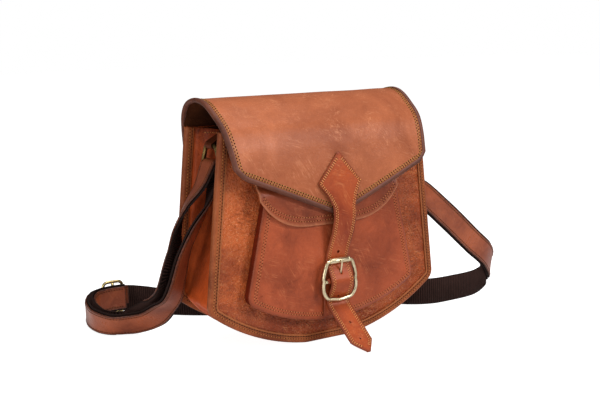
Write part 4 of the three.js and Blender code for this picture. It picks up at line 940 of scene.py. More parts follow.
def sew(group, surface, a, b, thick, side=1, pitch=PITCH, reach=0.01, shift=0):
    """Row of stitches along a line of places (a, b) on the middle surface of leather.
    They lie on the face that the surface's normal points to, or on the other one at side -1.
    A second row beside the first is shifted by half a stitch, and so has one stitch less."""
    a, b = np.broadcast_arrays(np.asarray(a, float), np.asarray(b, float))
    length = lengths_along(surface(a, b))
    fitting = max(1, round(length[-1] / pitch))
    step = length[-1] / fitting
    count = fitting - math.ceil(shift)

    def place(share):
        at = (share + shift) * step
        aa, bb = np.interp(at, length, a), np.interp(at, length, b)
        da = surface(aa + reach, bb) - surface(aa - reach, bb)
        db = surface(aa, bb + reach) - surface(aa, bb - reach)
        return surface(aa, bb), unit(np.cross(da, db)) * side
    middles, normals = place(np.arange(count) + 0.5)
    starts, start_normals = place(np.arange(count + 1.0))
    along = unit(starts[1:] - starts[:-1])
    ends = np.vstack([along, along[-1:]])
    SEWN.setdefault(group, []).extend([
        (middles + normals * (thick / 2 + THREAD_LIFT), along, normals, np.zeros(count, bool)),
        (starts + start_normals * (thick / 2 + HOLE_LIFT), ends, start_normals, np.ones(count + 1, bool)),
    ])


def carried_directions(tree):
    """The points' own mark for a hole, and the turn that lays X along and Z up."""
    def carried(name, data_type):
        attribute = add_node(tree, "GeometryNodeInputNamedAttribute", {"Name": name}, data_type=data_type)
        return attribute.outputs[0]
    directions = {0: carried("along", "FLOAT_VECTOR"), 1: carried("up", "FLOAT_VECTOR")}
    turn = add_node(tree, "FunctionNodeAxesToRotation", directions, primary_axis="X", secondary_axis="Z")
    return carried("is_hole", "BOOLEAN"), turn.outputs[0]


def reshaped(tree, shape, given, length, width, height):
    """A shape of unit size, scaled by three inputs of the tree."""
    size = add_node(tree, "ShaderNodeCombineXYZ", {0: given[length], 1: given[width], 2: given[height]})
    return add_node(tree, "GeometryNodeTransform", {"Geometry": shape, "Scale": size.outputs[0]}).outputs[0]


def laid_on_points(tree, shape, given, finish, turn, chosen=True):
    placed = add_node(tree, "GeometryNodeInstanceOnPoints", {
        "Points": given["Geometry"], "Selection": chosen, "Instance": shape, "Rotation": turn}).outputs[0]
    real = add_node(tree, "GeometryNodeRealizeInstances", {0: placed}).outputs[0]
    return add_node(tree, "GeometryNodeSetMaterial", {0: real, "Material": given[finish]}).outputs[0]


def make_stitch_tree():
    """Threads, and dark discs of painted shade at the needle holes, on points that carry their directions.
    """
    tree, given, made = new_group("stitch_row", "GeometryNodeTree", [
        ("Geometry", "NodeSocketGeometry", None),
        ("Thread Length", "NodeSocketFloat", 0.0025),
        ("Thread Width", "NodeSocketFloat", 0.0007),
        ("Thread Height", "NodeSocketFloat", 0.0006),
        ("Hole Radius", "NodeSocketFloat", 0.0004),
        ("Thread Finish", "NodeSocketMaterial", None),
        ("Hole Shade Finish", "NodeSocketMaterial", None),
    ], [("Geometry", "NodeSocketGeometry")])
    is_hole, turn = carried_directions(tree)
    is_thread = add_node(tree, "FunctionNodeBooleanMath", {0: is_hole}, operation="NOT").outputs[0]
    bead = add_node(tree, "GeometryNodeMeshUVSphere", {"Segments": 6, "Rings": 4, "Radius": 0.5})
    thread = reshaped(tree, bead.outputs["Mesh"], given, "Thread Length", "Thread Width", "Thread Height")
    disc = add_node(tree, "GeometryNodeMeshCylinder", {
        "Vertices": 7, "Radius": given["Hole Radius"], "Depth": HOLE_DEPTH * MM}, fill_type="NGON")
    joined = add_node(tree, "GeometryNodeJoinGeometry")
    threads = laid_on_points(tree, thread, given, "Thread Finish", turn, is_thread)
    holes = laid_on_points(tree, disc.outputs[0], given, "Hole Shade Finish", turn, is_hole)
    for part in (threads, holes):
        tree.links.new(part, joined.inputs[0])
    tree.links.new(joined.outputs[0], made["Geometry"])
    return tree


def make_rib_tree():
    """Rounded ribs that lie across a band, on points that carry their directions."""
    tree, given, made = new_group("webbing_ribs", "GeometryNodeTree", [
        ("Geometry", "NodeSocketGeometry", None),
        ("Rib Length", "NodeSocketFloat", 0.027),
        ("Rib Width", "NodeSocketFloat", 0.0012),
        ("Rib Height", "NodeSocketFloat", 0.0007),
        ("Rib Finish", "NodeSocketMaterial", None),
    ], [("Geometry", "NodeSocketGeometry")])
    turn = carried_directions(tree)[1]
    rod = add_node(tree, "GeometryNodeMeshCylinder", {"Vertices": 8, "Radius": 0.5, "Depth": 1.0})
    lying = add_node(tree, "GeometryNodeTransform", {
        "Geometry": rod.outputs["Mesh"], "Rotation": (0, math.pi / 2, 0)}).outputs[0]
    rib = reshaped(tree, lying, given, "Rib Length", "Rib Width", "Rib Height")
    tree.links.new(laid_on_points(tree, rib, given, "Rib Finish", turn), made["Geometry"])
    return tree


def grow(name, tree, rows, settings, slot=None):
    """Piece that a node tree grows on points with directions."""
    centre, along, up, is_hole = (np.concatenate(part) for part in zip(*rows))
    mesh = mesh_of(name, centre)
    for label, vectors in (("along", along), ("up", up)):
        mesh.attributes.new(label, "FLOAT_VECTOR", "POINT").data.foreach_set(
            "vector", vectors.astype(np.float32).ravel())
    mesh.attributes.new("is_hole", "BOOLEAN", "POINT").data.foreach_set("value", is_hole)
    piece = add_object(name, mesh)
    modifier = piece.modifiers.new(name, "NODES")
    modifier.node_group = tree
    for item in tree.interface.items_tree:
        if item.in_out == "INPUT" and item.name in settings:
            modifier[item.identifier] = settings[item.name]
    plain_mesh(piece)
    settle(piece, slot)


# Outlines of the body and of the pocket

def half_outline(radius, low, half_corner, corner_z, half_top, top, fillet, steps=(40, 12, 44)):
    """Right half of a U, from the middle of the bottom up one side: x, z and the outward normal."""
    arc_z = low + radius
    side = unit(np.array([half_top - half_corner, top - corner_z], float))
    out = np.array([side[1], -side[0]])
    start = np.array([half_corner, corner_z], float) - out * fillet
    rel = start - np.array([0, arc_z])
    reach = rel @ side
    centre = start + side * (-reach - math.sqrt(reach ** 2 - rel @ rel + (radius - fillet) ** 2))
    turn_arc = math.atan2(centre[0], arc_z - centre[1])
    turn_side = math.atan2(out[0], -out[1])
    made = []
    for turn in np.linspace(0, turn_arc, steps[0] + 1):
        x, z = radius * math.sin(turn), arc_z - radius * math.cos(turn)
        made.append((x, 0, 0, -1) if z < 0 else (x, z, math.sin(turn), -math.cos(turn)))
    for turn in np.linspace(turn_arc, turn_side, steps[1] + 1)[1:]:
        made.append((centre[0] + fillet * math.sin(turn), centre[1] - fillet * math.cos(turn),
                     math.sin(turn), -math.cos(turn)))
    x, z = made[-1][:2]
    length = (top - z) / side[1]
    for go in np.linspace(0, length, steps[2] + 1)[1:]:
        made.append((x + side[0] * go, z + side[1] * go, out[0], out[1]))
    return np.array(made)


def whole_outline(half):
    """The U from the left top, round the bottom, to the right top, with its normals evened out."""
    whole = np.vstack([half[:0:-1] * [-1, 1, -1, 1], half])
    reach = 3
    padded = np.vstack([whole[:1, 2:]] * reach + [whole[:, 2:]] + [whole[-1:, 2:]] * reach)
    whole[:, 2:] = unit(sum(padded[k:k + len(whole)] for k in range(2 * reach + 1)))
    return whole


BODY_HALF = half_outline(**BODY_SHAPE)
BODY_OUTLINE = whole_outline(BODY_HALF)
POCKET_HALF = half_outline(**POCKET_SHAPE)
POCKET_OUTLINE = whole_outline(POCKET_HALF)


def outline_at(outline, station):
    """x, z and the outward normal at fractional stations of an outline."""
    return (np.interp(station, np.arange(len(outline)), outline[:, k]) for k in range(4))


def dome(x, half, z, low, high):
    """1 in the middle of a panel, and falling to 0 at its sides, bottom and top."""
    across = 1 - np.minimum(1, np.abs(x) / np.maximum(half, 1e-6)) ** 2
    up = 1 - np.clip((2 * z - low - high) / (high - low), -1, 1) ** 2
    return across ** 2 * up ** 2


def half_width(half, z):
    """Half of an outline's width at a height; a tiny slope keeps its flat bottom in order."""
    return np.interp(z, half[:, 1] + half[:, 0] * 1e-6, half[:, 0])


def front_face(x, z):
    """Outer face of the front panel."""
    return -BODY_DEPTH / 2 - FRONT_BULGE * dome(x, half_width(BODY_HALF, z), z, 0, TOP_Z)


def back_face(x, z):
    """Outer face of the back panel."""
    return BODY_DEPTH / 2 + BACK_BULGE * dome(x, half_width(BODY_HALF, z), z, 0, TOP_Z)


def u_panel(outline, inset, depth, core_z, near=(0, 0.6, 1.3, 2.2, 3.3, 4.6, 6.2, 8.2, 11), middle=16):
    """Grid of a U-shaped panel, from its outline in to a seam down its middle."""
    flat, normal = outline[:, :2], outline[:, 2:]
    lines = [flat - normal * (inset + d) for d in near]
    core = np.stack([np.zeros(len(flat)), np.maximum(flat[:, 1], core_z)], -1)
    lines += [lines[len(near) - 1] * (1 - f) + core * f for f in np.linspace(0, 1, middle + 1)[1:]]
    x, z = np.moveaxis(np.stack(lines, axis=1), -1, 0)
    return np.stack([x, depth(x, z), z], -1)


# Panels and gusset

def make_panels():
    for name, face, side in (("front_panel", front_face, -1), ("back_panel", back_face, 1)):
        def middle(x, z):
            return face(x, z) - side * PANEL_T / 2
        grid = u_panel(BODY_OUTLINE, PANEL_INSET + PANEL_T / 2, middle, BODY_CORE_Z)
        sheet(name, grid, PANEL_T, PANEL, "panel_leather", "", (0.0, side, 0.0), core=True, suede="far")


def gusset_bow(z):
    return np.interp(z, GUSSET_BOW[:, 0], GUSSET_BOW[:, 1])


def wall_reach(stations, y):
    """How far the gusset wall stands out from the outline, for stations down and depths across."""
    z, nz = stations[:, 1:2], stations[:, 3:4]
    slack = 1 - (y / WALL_HALF) ** 4
    along = lengths_along(stations[:, :2])[:, None]
    folds = sum(depth * np.exp(-((z - height) / spread) ** 2) for height, spread, depth in GUSSET_FOLDS)
    first, second = (along / down + y / across for down, across in GUSSET_WAVES)
    reach = -FLANGE_DEPTH + (gusset_bow(z) + folds * np.sin(first) * np.cos(second)) * slack
    least_slope = 0.05
    on_floor = (z - GUSSET_T / 2) / np.maximum(-nz, least_slope)
    return np.where(nz < -least_slope, np.minimum(reach, on_floor), reach)


def gusset_grid():
    inner = WALL_HALF - WALL_EDGE
    wall = np.concatenate([[-WALL_HALF], np.linspace(-inner, inner, 34), [WALL_HALF]])
    turn_y, turn_reach = np.array(GUSSET_TURN).T
    y = np.concatenate([turn_y - FLANGE_Y, wall, (FLANGE_Y - turn_y)[::-1]])
    flange = np.broadcast_to(turn_reach, (len(BODY_OUTLINE), len(turn_reach)))
    reach = np.concatenate([flange, wall_reach(BODY_OUTLINE, wall[None, :]), flange[:, ::-1]], axis=1)
    x = BODY_OUTLINE[:, 0:1] + BODY_OUTLINE[:, 2:3] * reach
    z = BODY_OUTLINE[:, 1:2] + BODY_OUTLINE[:, 3:4] * reach
    return np.stack([x, np.broadcast_to(y, x.shape), z], -1)


make_panels()
# Its top edges take the dark edge colour far down, as painted shade under the flap
sheet("gusset", gusset_grid(), GUSSET_T, GUSSET, "panel_leather", "ab", rim_reach=80.0, suede="near")


# Bindings of the body

def binding_line():
    """Middle line of the folded strip: depth and reach along the outward normal."""
    outer = BODY_DEPTH / 2 + GAP + BINDING_T / 2
    inner = FLANGE_Y - GUSSET_T / 2 - GAP - BINDING_T / 2
    fold, end = -BINDING_T / 2, -BINDING_LEG + BINDING_TRIM
    corners = [(outer, end), (outer, fold), (inner, fold), (inner, end)]
    return filled_in(rounded_line(corners, BINDING_ROUND, 6), 1.2)


def on_binding(side):
    """Surface of a binding: station of the outline, and length along the folded strip."""
    line = binding_line()
    along = lengths_along(line)

    def surface(station, place):
        y, reach = np.interp(place, along, line[:, 0]), np.interp(place, along, line[:, 1])
        x, z, nx, nz = outline_at(BODY_OUTLINE, station)
        return np.stack([x + nx * reach, side * y + 0 * x, z + nz * reach], -1)
    return surface, along[-1]


def make_bindings():
    stations = np.arange(len(BODY_OUTLINE))
    sewn_stations = np.linspace(0, len(BODY_OUTLINE) - 1, 900)
    for side, name in ((-1, "front_binding"), (1, "back_binding")):
        surface, width = on_binding(side)
        grid = surface(*crossed(stations, np.linspace(0, width, 26)))
        sheet(name, grid, BINDING_T, EDGE, "edge_leather", "cd", rim_reach=3.0)
        for group, inset, shift in zip(("seam_stitches", "body_stitches"), BINDING_SEWN, ROW_SHIFTS):
            for place in (inset, width - inset):
                sew(group, surface, sewn_stations, place, BINDING_T, side, shift=shift)


def on_gusset_hem(y, drop):
    """Right side of the gusset's wall below the mouth: depth, and drop from the top edge."""
    z = TOP_Z - drop
    x = half_width(BODY_HALF, z) - FLANGE_DEPTH + gusset_bow(z) * (1 - (y / WALL_HALF) ** 4)
    return np.stack([x, y, z + 0 * x], -1)


def sew_hem():
    line = np.linspace(-HEM_HALF, HEM_HALF, 40)
    sew("body_stitches", on_gusset_hem, line, HEM_SEWN, GUSSET_T, -1)
    sew("body_stitches", lambda y, drop: on_gusset_hem(y, drop) * [-1, 1, 1], line, HEM_SEWN, GUSSET_T)


make_bindings()
sew_hem()


# Flap

FLAP_END = len(FLAP_ROWS) - 1
FLAP_FINE = table_curve(FLAP_ROWS)(np.linspace(0, FLAP_END, 20 * FLAP_END + 1))
FLAP_LENGTH = lengths_along(FLAP_FINE[:, 2:])
FLAP_APEX = int(np.argmax(FLAP_FINE[:, 3]))


def hem_length(u):
    """Length of the flap's profile from the back seam to its V hem; u goes from -1 at the left to 1."""
    side = np.abs(u)
    lift = FLAP_CORNER_LIFT * np.maximum(0, (side - FLAP_CORNER_START) / (1 - FLAP_CORNER_START)) ** 2
    z = FLAP_TIP_Z + (FLAP_CORNER_Z - FLAP_TIP_Z) * np.hypot(side, FLAP_TIP_ROUND) + lift
    return np.interp(-z, -FLAP_FINE[FLAP_APEX:, 3], FLAP_LENGTH[FLAP_APEX:])


def on_flap(u, v):
    """Flap: -1 to 1 across its width, and 0 to 1 from the back seam to the hem."""
    u, v = np.clip(u, -1, 1), np.clip(v, 0, 1)
    length = v * hem_length(u)
    left, right, y, z = (np.interp(length, FLAP_LENGTH, FLAP_FINE[:, k]) for k in range(4))
    return np.stack([left + (right - left) * (u + 1) / 2, y, z], -1)


def flap_grid():
    """Grid of the flap, a little short of its edges, with soft waves where nothing holds it flat."""
    u, v = crossed(edge_spread(1, 70, (0, 0.01, 0.025, 0.045, 0.07)),
                   np.concatenate([np.linspace(0, 0.94, 76), np.linspace(0.95, 1, 9)]))
    start, covered = FLAP_COVER_DOWN
    grid = on_flap(u * FLAP_COVER_ACROSS, start + v * covered)
    normal = unit(np.cross(np.gradient(grid, axis=0), np.gradient(grid, axis=1)))
    from_side, from_back, from_hem = FLAP_WAVE_FADES
    free = fade(1 - np.abs(u), *from_side) * fade(v, *from_back) * fade(-v, *from_hem)
    kite_middle, kite_spread = FLAP_KITE_ACROSS
    under_kite = np.exp(-((u - kite_middle) / kite_spread) ** 2) * fade(v, *FLAP_KITE_DOWN)
    waves = free * (1 - under_kite) * FLAP_WAVE_HEIGHT * wobble(grid, FLAP_WAVE_LENGTH)
    return grid + normal * waves[..., None]


def flap_edge_path():
    """Places along the flap's free edge: down the left side, round the hem and up the right side."""
    down = np.linspace(FLAP_BINDING_START, 1, 110)[:-1]
    across = np.linspace(-1, 1, 181)
    u = np.concatenate([np.full(len(down), -1.0), across, np.full(len(down), 1.0)])
    v = np.concatenate([down, np.ones(len(across)), down[::-1]])
    return u, v


def flap_binding_grid():
    """Grid of the strip that folds round the flap's edge; low on the back it has no inner leg."""
    u, v = flap_edge_path()
    edge = on_flap(u, v)
    tangent = unit(np.gradient(edge, axis=0))
    step = 1 / FLAP_STEPS
    down = on_flap(u, np.minimum(v + step, 1)) - on_flap(u, v - step)
    across = on_flap(np.minimum(u + step, 1), v) - on_flap(np.maximum(u - step, -1), v)
    normal = unit(np.cross(across, down))
    inward = unit(np.cross(tangent, normal))
    for _ in range(3):
        inward[1:-1] = unit(inward[:-2] + 2 * inward[1:-1] + inward[2:])
        normal[1:-1] = unit(normal[:-2] + 2 * normal[1:-1] + normal[2:])
    inward = unit(inward - normal * np.sum(inward * normal, axis=-1, keepdims=True))
    turns = np.linspace(math.pi / 2, 3 * math.pi / 2, 13)
    bend = [(1 + FLAP_BINDING_ROUND * math.cos(t), FLAP_BINDING_ROUND * math.sin(t)) for t in turns]
    section = FLAP_BINDING_LEG + bend + [(inset, -rise) for inset, rise in FLAP_BINDING_LEG[::-1]]
    whole = np.where(edge[:, 1] > 0, np.interp(edge[:, 2], FLAP_INNER_LEG_Z, (0, 1)), 1.0)
    columns = []
    for k, (inset, rise) in enumerate(section):
        tuck_inset = FLAP_TUCK_INSET[0] + FLAP_TUCK_INSET[1] * k
        tuck_rise = FLAP_TUCK_RISE[0] + FLAP_TUCK_RISE[1] * max(0, k - len(section) // 2)
        if rise <= tuck_rise:
            rise = rise * whole + tuck_rise * (1 - whole)
            inset = inset * whole + tuck_inset * (1 - whole)
        columns.append(edge + inward * np.broadcast_to(inset, len(u))[:, None]
                       - normal * np.broadcast_to(rise, len(u))[:, None])
    return np.stack(columns, axis=1)


def flap_row(inset):
    """Places along a line that keeps the same distance from the flap's free edge."""
    side = 1 - inset / FLAP_MEAN_HALF
    u, v = flap_edge_path()
    slant = np.where(np.abs(u) < FLAP_CORNER_START, FLAP_HEM_SLANT, 1.0)
    u = np.clip(u, -side, side)
    return u, np.minimum(v, 1 - inset / hem_length(u) * slant)


sheet("flap", flap_grid(), FLAP_T, FLAP, "flap_leather", "abd", rim_reach=9.0, suede="near")
sheet("flap_binding", flap_binding_grid(), FLAP_BINDING_T, FLAP_EDGE, "flap_edge_leather", "cd",
      rim_reach=2.5)
for flap_inset, row_shift in zip(FLAP_SEWN, ROW_SHIFTS):
    sew("flap_stitches", on_flap, *flap_row(flap_inset), FLAP_T, -1, shift=row_shift)
back_run = np.linspace(-FLAP_BACK_SEWN_WIDTH, FLAP_BACK_SEWN_WIDTH, 120)
for back_seam in FLAP_BACK_SEWN:
    sew("flap_stitches", on_flap, back_run, back_seam, FLAP_T, -1)


# Pocket

def pocket_grid():
    """Grid of the pocket's wall, with a flange on the front panel and one under the pocket's front."""
    wall = []
    flange = POCKET_FLANGE - POCKET_T / 2
    for x, z, nx, nz in POCKET_OUTLINE:
        seat, foot = (front_face(x - nx * inset, z - nz * inset) - GAP - POCKET_T / 2
                      for inset in (POCKET_FLANGE, 0))
        corners = [(flange, seat), (0, foot), (0, POCKET_WALL_FRONT), (flange, POCKET_WALL_FRONT)]
        line = rounded_line(corners, POCKET_ROUND, 5)
        wall.append(np.stack([x - nx * line[:, 0], line[:, 1], z - nz * line[:, 0]], -1))
    return np.array(wall)


def pocket_depth(x, z):
    """Middle surface of the pocket's front: a low dome with a rim that rolls back."""
    half = half_width(POCKET_HALF + np.array([POCKET_T, 0, 0, 0]), z)
    low = POCKET_SHAPE["low"] + POCKET_SHAPE["radius"] - np.sqrt(POCKET_SHAPE["radius"] ** 2 - x ** 2)
    edge = np.minimum(half - np.abs(x), z - low)
    rim = np.maximum(0, 1 - np.maximum(edge, 0) / POCKET_RIM_WIDTH) ** 2
    bulge = POCKET_BULGE * dome(x, half, z, POCKET_SHAPE["low"], POCKET_SHAPE["top"])
    return POCKET_FRONT_Y - POCKET_RIM * (1 - rim) - bulge


def on_pocket(station, inset):
    """Front of the pocket: station of its outline, and distance in from it."""
    x, z, nx, nz = outline_at(POCKET_OUTLINE, station)
    x, z = x - nx * inset, z - nz * inset
    return np.stack([x, pocket_depth(x, z), z], -1)


def make_pocket():
    sheet("pocket_gusset", pocket_grid(), POCKET_T, SHADED_POCKET_WALL, "panel_leather", "ab")
    grid = u_panel(POCKET_OUTLINE, -POCKET_T + POCKET_FRONT_T / 2, pocket_depth, POCKET_CORE_Z)
    sheet("pocket_front", grid, POCKET_FRONT_T, POCKET, "panel_leather", "c", (0.0, -1.0, 0.0), core=True,
          rim_reach=5.0)
    stations = np.linspace(0, len(POCKET_OUTLINE) - 1, 600)
    for inset, shift in zip(POCKET_SEWN, ROW_SHIFTS):
        sew("pocket_stitches", on_pocket, stations, inset, POCKET_FRONT_T, shift=shift)


POCKET_FLAP_FINE = np.linspace(0, len(POCKET_FLAP_ROWS) - 1, 400)
POCKET_FLAP_CURVE = table_curve(POCKET_FLAP_ROWS)
POCKET_FLAP_Z = POCKET_FLAP_CURVE(POCKET_FLAP_FINE)[:, 1]


def on_pocket_flap(u, share):
    """Pocket flap: -1 to 1 across its width, and 0 to 1 from its seam to its curved lower edge."""
    u, share = np.clip(u, -1, 1), np.clip(share, 0, 1)
    low = POCKET_FLAP_LOW_Z + POCKET_FLAP_RISE * u ** 4
    last = np.interp(-low, -POCKET_FLAP_Z, POCKET_FLAP_FINE)
    y, z = np.moveaxis(POCKET_FLAP_CURVE(last * share), -1, 0)
    stand_off = POCKET_FLAP_LIFT * share ** 6 * fade(np.abs(u), *POCKET_FLAP_LIFT_FADE)
    return np.stack([POCKET_FLAP_SHIFT + u * POCKET_FLAP_HALF, y - stand_off, z], -1)


def make_pocket_flap():
    half, length = POCKET_FLAP_COVER
    across = edge_spread(half, 50, (0, 0.008, 0.018, 0.03, 0.045))
    down = np.concatenate([np.linspace(0, 0.94, 34), np.linspace(0.955, length, 5)])
    grid = on_pocket_flap(*crossed(across, down))
    sheet("pocket_flap", grid, POCKET_FLAP_T, SHADED_POCKET_FLAP, "panel_leather", "abd", rim_reach=4.0)
    run = np.linspace(-POCKET_FLAP_SEWN_WIDTH, POCKET_FLAP_SEWN_WIDTH, 300)
    drop = lengths_along(on_pocket_flap(*np.meshgrid(run, np.linspace(0, 1, 60))))[-1]
    slope = 4 * POCKET_FLAP_RISE * run ** 3 / POCKET_FLAP_HALF
    for inset, shift in zip(POCKET_FLAP_SEWN, ROW_SHIFTS):
        share = 1 - inset * np.hypot(1, slope) / drop
        sew("pocket_stitches", on_pocket_flap, run, share, POCKET_FLAP_T, -1, shift=shift)


make_pocket()
make_pocket_flap()


# Closure strap

CLOSURE_CURVE = table_curve(CLOSURE_ROWS)


def closure_half(row):
    return np.interp(row, np.arange(CLOSURE_END + 1), [half for x, y, z, half in CLOSURE_ROWS])


def on_closure(row, s):
    """Closure strap: fractional row of its table, and -1 to 1 across its width."""
    row = np.clip(row, 0, CLOSURE_END)
    x, y, z = np.moveaxis(CLOSURE_CURVE(row)[..., :3], -1, 0)
    return np.stack([x + s * closure_half(row), y + 0 * s, z + 0 * s], -1)


def closure_normal(row):
    step = 0.02
    ahead, behind = CLOSURE_CURVE(min(row + step, CLOSURE_END)), CLOSURE_CURVE(max(row - step, 0))
    return unit(np.array([0, behind[2] - ahead[2], ahead[1] - behind[1]]))


def make_closure_strap():
    grid = on_closure(*crossed(np.linspace(CLOSURE_TRIM, CLOSURE_END - CLOSURE_TRIM, 260),
                               edge_spread(CLOSURE_COVER, 9, (0, 0.05, 0.11, 0.18, 0.27))))
    punches = [prism(CLOSURE_CURVE(row)[:3], closure_normal(row), (1, 0, 0), radius, radius * stretch,
                     PUNCH_REACH) for row, radius, stretch in CLOSURE_HOLES]
    sheet("closure_strap", grid, CLOSURE_T, CLOSURE, "closure_leather", cutter=together(punches),
          rim_reach=3.2)
    # The kite's corners need closer places than the rest
    first, last = CLOSURE_UNSEWN
    run = np.concatenate([np.linspace(first, KITE_LAST_ROW, 90),
                          np.linspace(KITE_LAST_ROW + 0.05, CLOSURE_END - last, 260)])
    for inset, shift in zip(CLOSURE_SEWN, ROW_SHIFTS):
        share = 1 - inset / closure_half(run)
        wide = share > CLOSURE_LEAST_SEWN
        for sign in (-1, 1):
            sew("closure_stitches", on_closure, run[wide], sign * share[wide], CLOSURE_T,
                pitch=CLOSURE_PITCH, shift=shift)


make_closure_strap()


# Brass and the leather loops that hold it

def mirrored(rows, place):
    """Closed outline from its right half, each point put in place."""
    return [place(a, b) for a, b in rows] + [place(-a, b) for a, b in rows[-2:0:-1]]


def roller(sides=32):
    """Tube that turns on the buckle's upper bar, with a groove near each end."""
    bore = BUCKLE_WIRE_R + GAP
    end = [(bore, 0)] + [(ROLLER_R - less, inwards) for less, inwards in ROLLER_EDGE]
    profile = [(r, inwards - ROLLER_HALF) for r, inwards in end]
    profile += [(r, ROLLER_HALF - inwards) for r, inwards in end[::-1]]
    turns = np.arange(sides) * 2 * math.pi / sides
    points = np.array([(along, BUCKLE_Y + r * math.cos(t), BUCKLE_Z + BUCKLE_TOP + r * math.sin(t))
                       for r, along in profile for t in turns])
    return points, ring_quads(np.arange(len(points)).reshape(-1, sides), True)


def wrap_round(centre, first, second, radius, start, end, steps):
    """Places round a bar, from one angle to another in degrees."""
    return [centre + radius * (np.array(first, float) * math.cos(t) + np.array(second, float) * math.sin(t))
            for t in np.radians(np.linspace(start, end, steps + 1))]


def prong(name, bar, across, up, plane, bar_radius, reach, rest_out, finish):
    """Hook round the centre bar and a tongue up to the far bar, thinner at both ends."""
    hook = bar_radius + PRONG_PLAY + PRONG_R
    across, up = np.array(across, float), np.array(up, float)
    rows = wrap_round(bar, across, up, hook, *PRONG_HOOK)
    for out, along in PRONG_TONGUE:
        rows.append(bar + across * rest_out * out + up * (hook + (reach - hook) * along))
    path = table_curve(rows)(np.linspace(0, len(rows) - 1, 70))
    taper = np.interp(np.linspace(0, 1, len(path)), *zip(*PRONG_TAPER))
    wire(name, path, plane, taper * PRONG_R, finish, closed=False, sides=12)


def loop_of_leather(name, path, width, half, thick, finish, slot, sewn, side, cutter=None):
    """Band along a smooth path, with a row of stitches by each edge down a part of its length."""
    curve = table_curve(path)
    width = np.array(width, float)
    end = len(path) - 1

    def surface(t, s):
        return curve(np.clip(t, 0, end)) + np.asarray(s)[..., None] * width
    places = np.linspace(LOOP_TRIM, end - LOOP_TRIM, 70)
    grid = surface(*crossed(places, edge_spread(half - thick / 2, 9)))
    sheet(name, grid, thick, finish, slot, cutter=cutter, rim_reach=3.0)
    out, start, stop = sewn
    for place in (-out, out):
        sew(f"{name}_stitches", surface, np.linspace(start * end, stop * end, 60), place, thick, side)


def make_buckle():
    path = mirrored(BUCKLE_HALF, lambda x, z: (x, BUCKLE_Y, BUCKLE_Z + z))
    bar = [BUCKLE_CENTRE + [x, 0, 0] for x in (-BUCKLE_WAIST, 0, BUCKLE_WAIST)]
    path = rounded_line(path, BRASS_ROUND, 6, closed=True)
    wire("buckle_frame", path, (0, 1, 0), BUCKLE_WIRE_R, BUCKLE_BRASS, bars=[(bar, BUCKLE_BAR_R)])
    dress("buckle_roller", *roller(), BUCKLE_BRASS, "brass")
    prong("buckle_prong", BUCKLE_CENTRE, (0, -1, 0), (0, 0, 1), (1, 0, 0), BUCKLE_BAR_R, BUCKLE_TOP,
          ROLLER_R + GAP + PRONG_R, BUCKLE_BRASS)
    lie_y = POCKET_FRONT_Y - POCKET_RIM - POCKET_FRONT_T / 2 - POCKET_BULGE - GAP - CHAPE_T / 2
    chape = [np.array([0, lie_y + inwards, z]) for inwards, z in CHAPE_SEAT]
    bend = BUCKLE_BAR_R + GAP + CHAPE_T / 2
    chape += wrap_round(BUCKLE_CENTRE, (0, 1, 0), (0, 0, 1), bend, *CHAPE_WRAP)
    slot = prism(BUCKLE_CENTRE, (0, 1, 0), (1, 0, 0), SLOT_HALF, CHAPE_SLOT / 2, CHAPE_SLOT / 2, corners=4)
    loop_of_leather("buckle_chape", chape, (1, 0, 0), CHAPE_HALF, CHAPE_T, CLOSURE, "panel_leather",
                    CHAPE_SEWN, 1, slot)


def ring_wall(z):
    """Middle of a ring tab where it lies on the gusset's wall."""
    far = (abs(RING_Y) + RING_TAB_HALF) / WALL_COLUMN_Y
    reach = -FLANGE_DEPTH + gusset_bow(z) * (1 - far * (WALL_COLUMN_Y / WALL_HALF) ** 4)
    return half_width(BODY_HALF, z) + reach + GUSSET_T / 2 + GAP + RING_TAB_T / 2


def make_rings():
    bar_z = RING_Z + RING_TALL
    bend_in, bend_out = RING_TAB_BENDS
    over = RING_TAB_T + GAP
    for side, label in ((-1, "left"), (1, "right")):
        path = mirrored(RING_HALF, lambda y, z: (side * RING_X, RING_Y + y, RING_Z + z))
        path = rounded_line(path, BRASS_ROUND, 6, closed=True)
        wire(f"ring_{label}", path, (1, 0, 0), RING_WIRE_R, BRASS)
        tab = [np.array([side * ring_wall(z), RING_Y, z]) for z in (RING_TAB_TOP_Z, bar_z + bend_in)]
        tab += wrap_round(np.array([side * RING_X, RING_Y, bar_z]), (side, 0, 0), (0, 0, 1),
                          RING_WIRE_R + GAP + RING_TAB_T / 2, *RING_TAB_WRAP)
        tab += [np.array([side * (ring_wall(z) + over), RING_Y, z])
                for z in (bar_z + bend_out, RING_TAB_TOP_Z - RING_TAB_END_DROP)]
        loop_of_leather(f"ring_tab_{label}", tab, (0, 1, 0), RING_TAB_HALF, RING_TAB_T, SHADED_TAB,
                        "panel_leather", RING_TAB_SEWN, -side)


make_buckle()
make_rings()


# Shoulder strap

def strap_rows():
    """The whole route: a short end, round the right ring, about the bag and round the left ring."""
    rows = [(RING_X - inwards, RING_Y, RING_Z - below, 0, 1, 0) for inwards, below in STRAP_SHORT_END]
    for side, route in ((1, ROUTE_RIGHT_TO_LEFT), (-1, ROUTE_TAIL)):
        for turn in np.radians(STRAP_FOLD_TURNS):
            rows.append((side * (RING_X + STRAP_FOLD_R * math.cos(turn)), RING_Y,
                         RING_Z + STRAP_FOLD_R * math.sin(turn), 0, side, 0))
        rows += route
    return np.array(rows, float)


STRAP_ROWS = strap_rows()
STRAP_END = len(STRAP_ROWS) - 1
STRAP_MIDDLE = table_curve(STRAP_ROWS[:, :3], even=False)
STRAP_EDGE = table_curve(STRAP_ROWS[:, 3:], even=False)
STRAP_FINE = np.linspace(0, STRAP_END, 40 * STRAP_END + 1)
STRAP_LENGTH = lengths_along(STRAP_MIDDLE(STRAP_FINE))


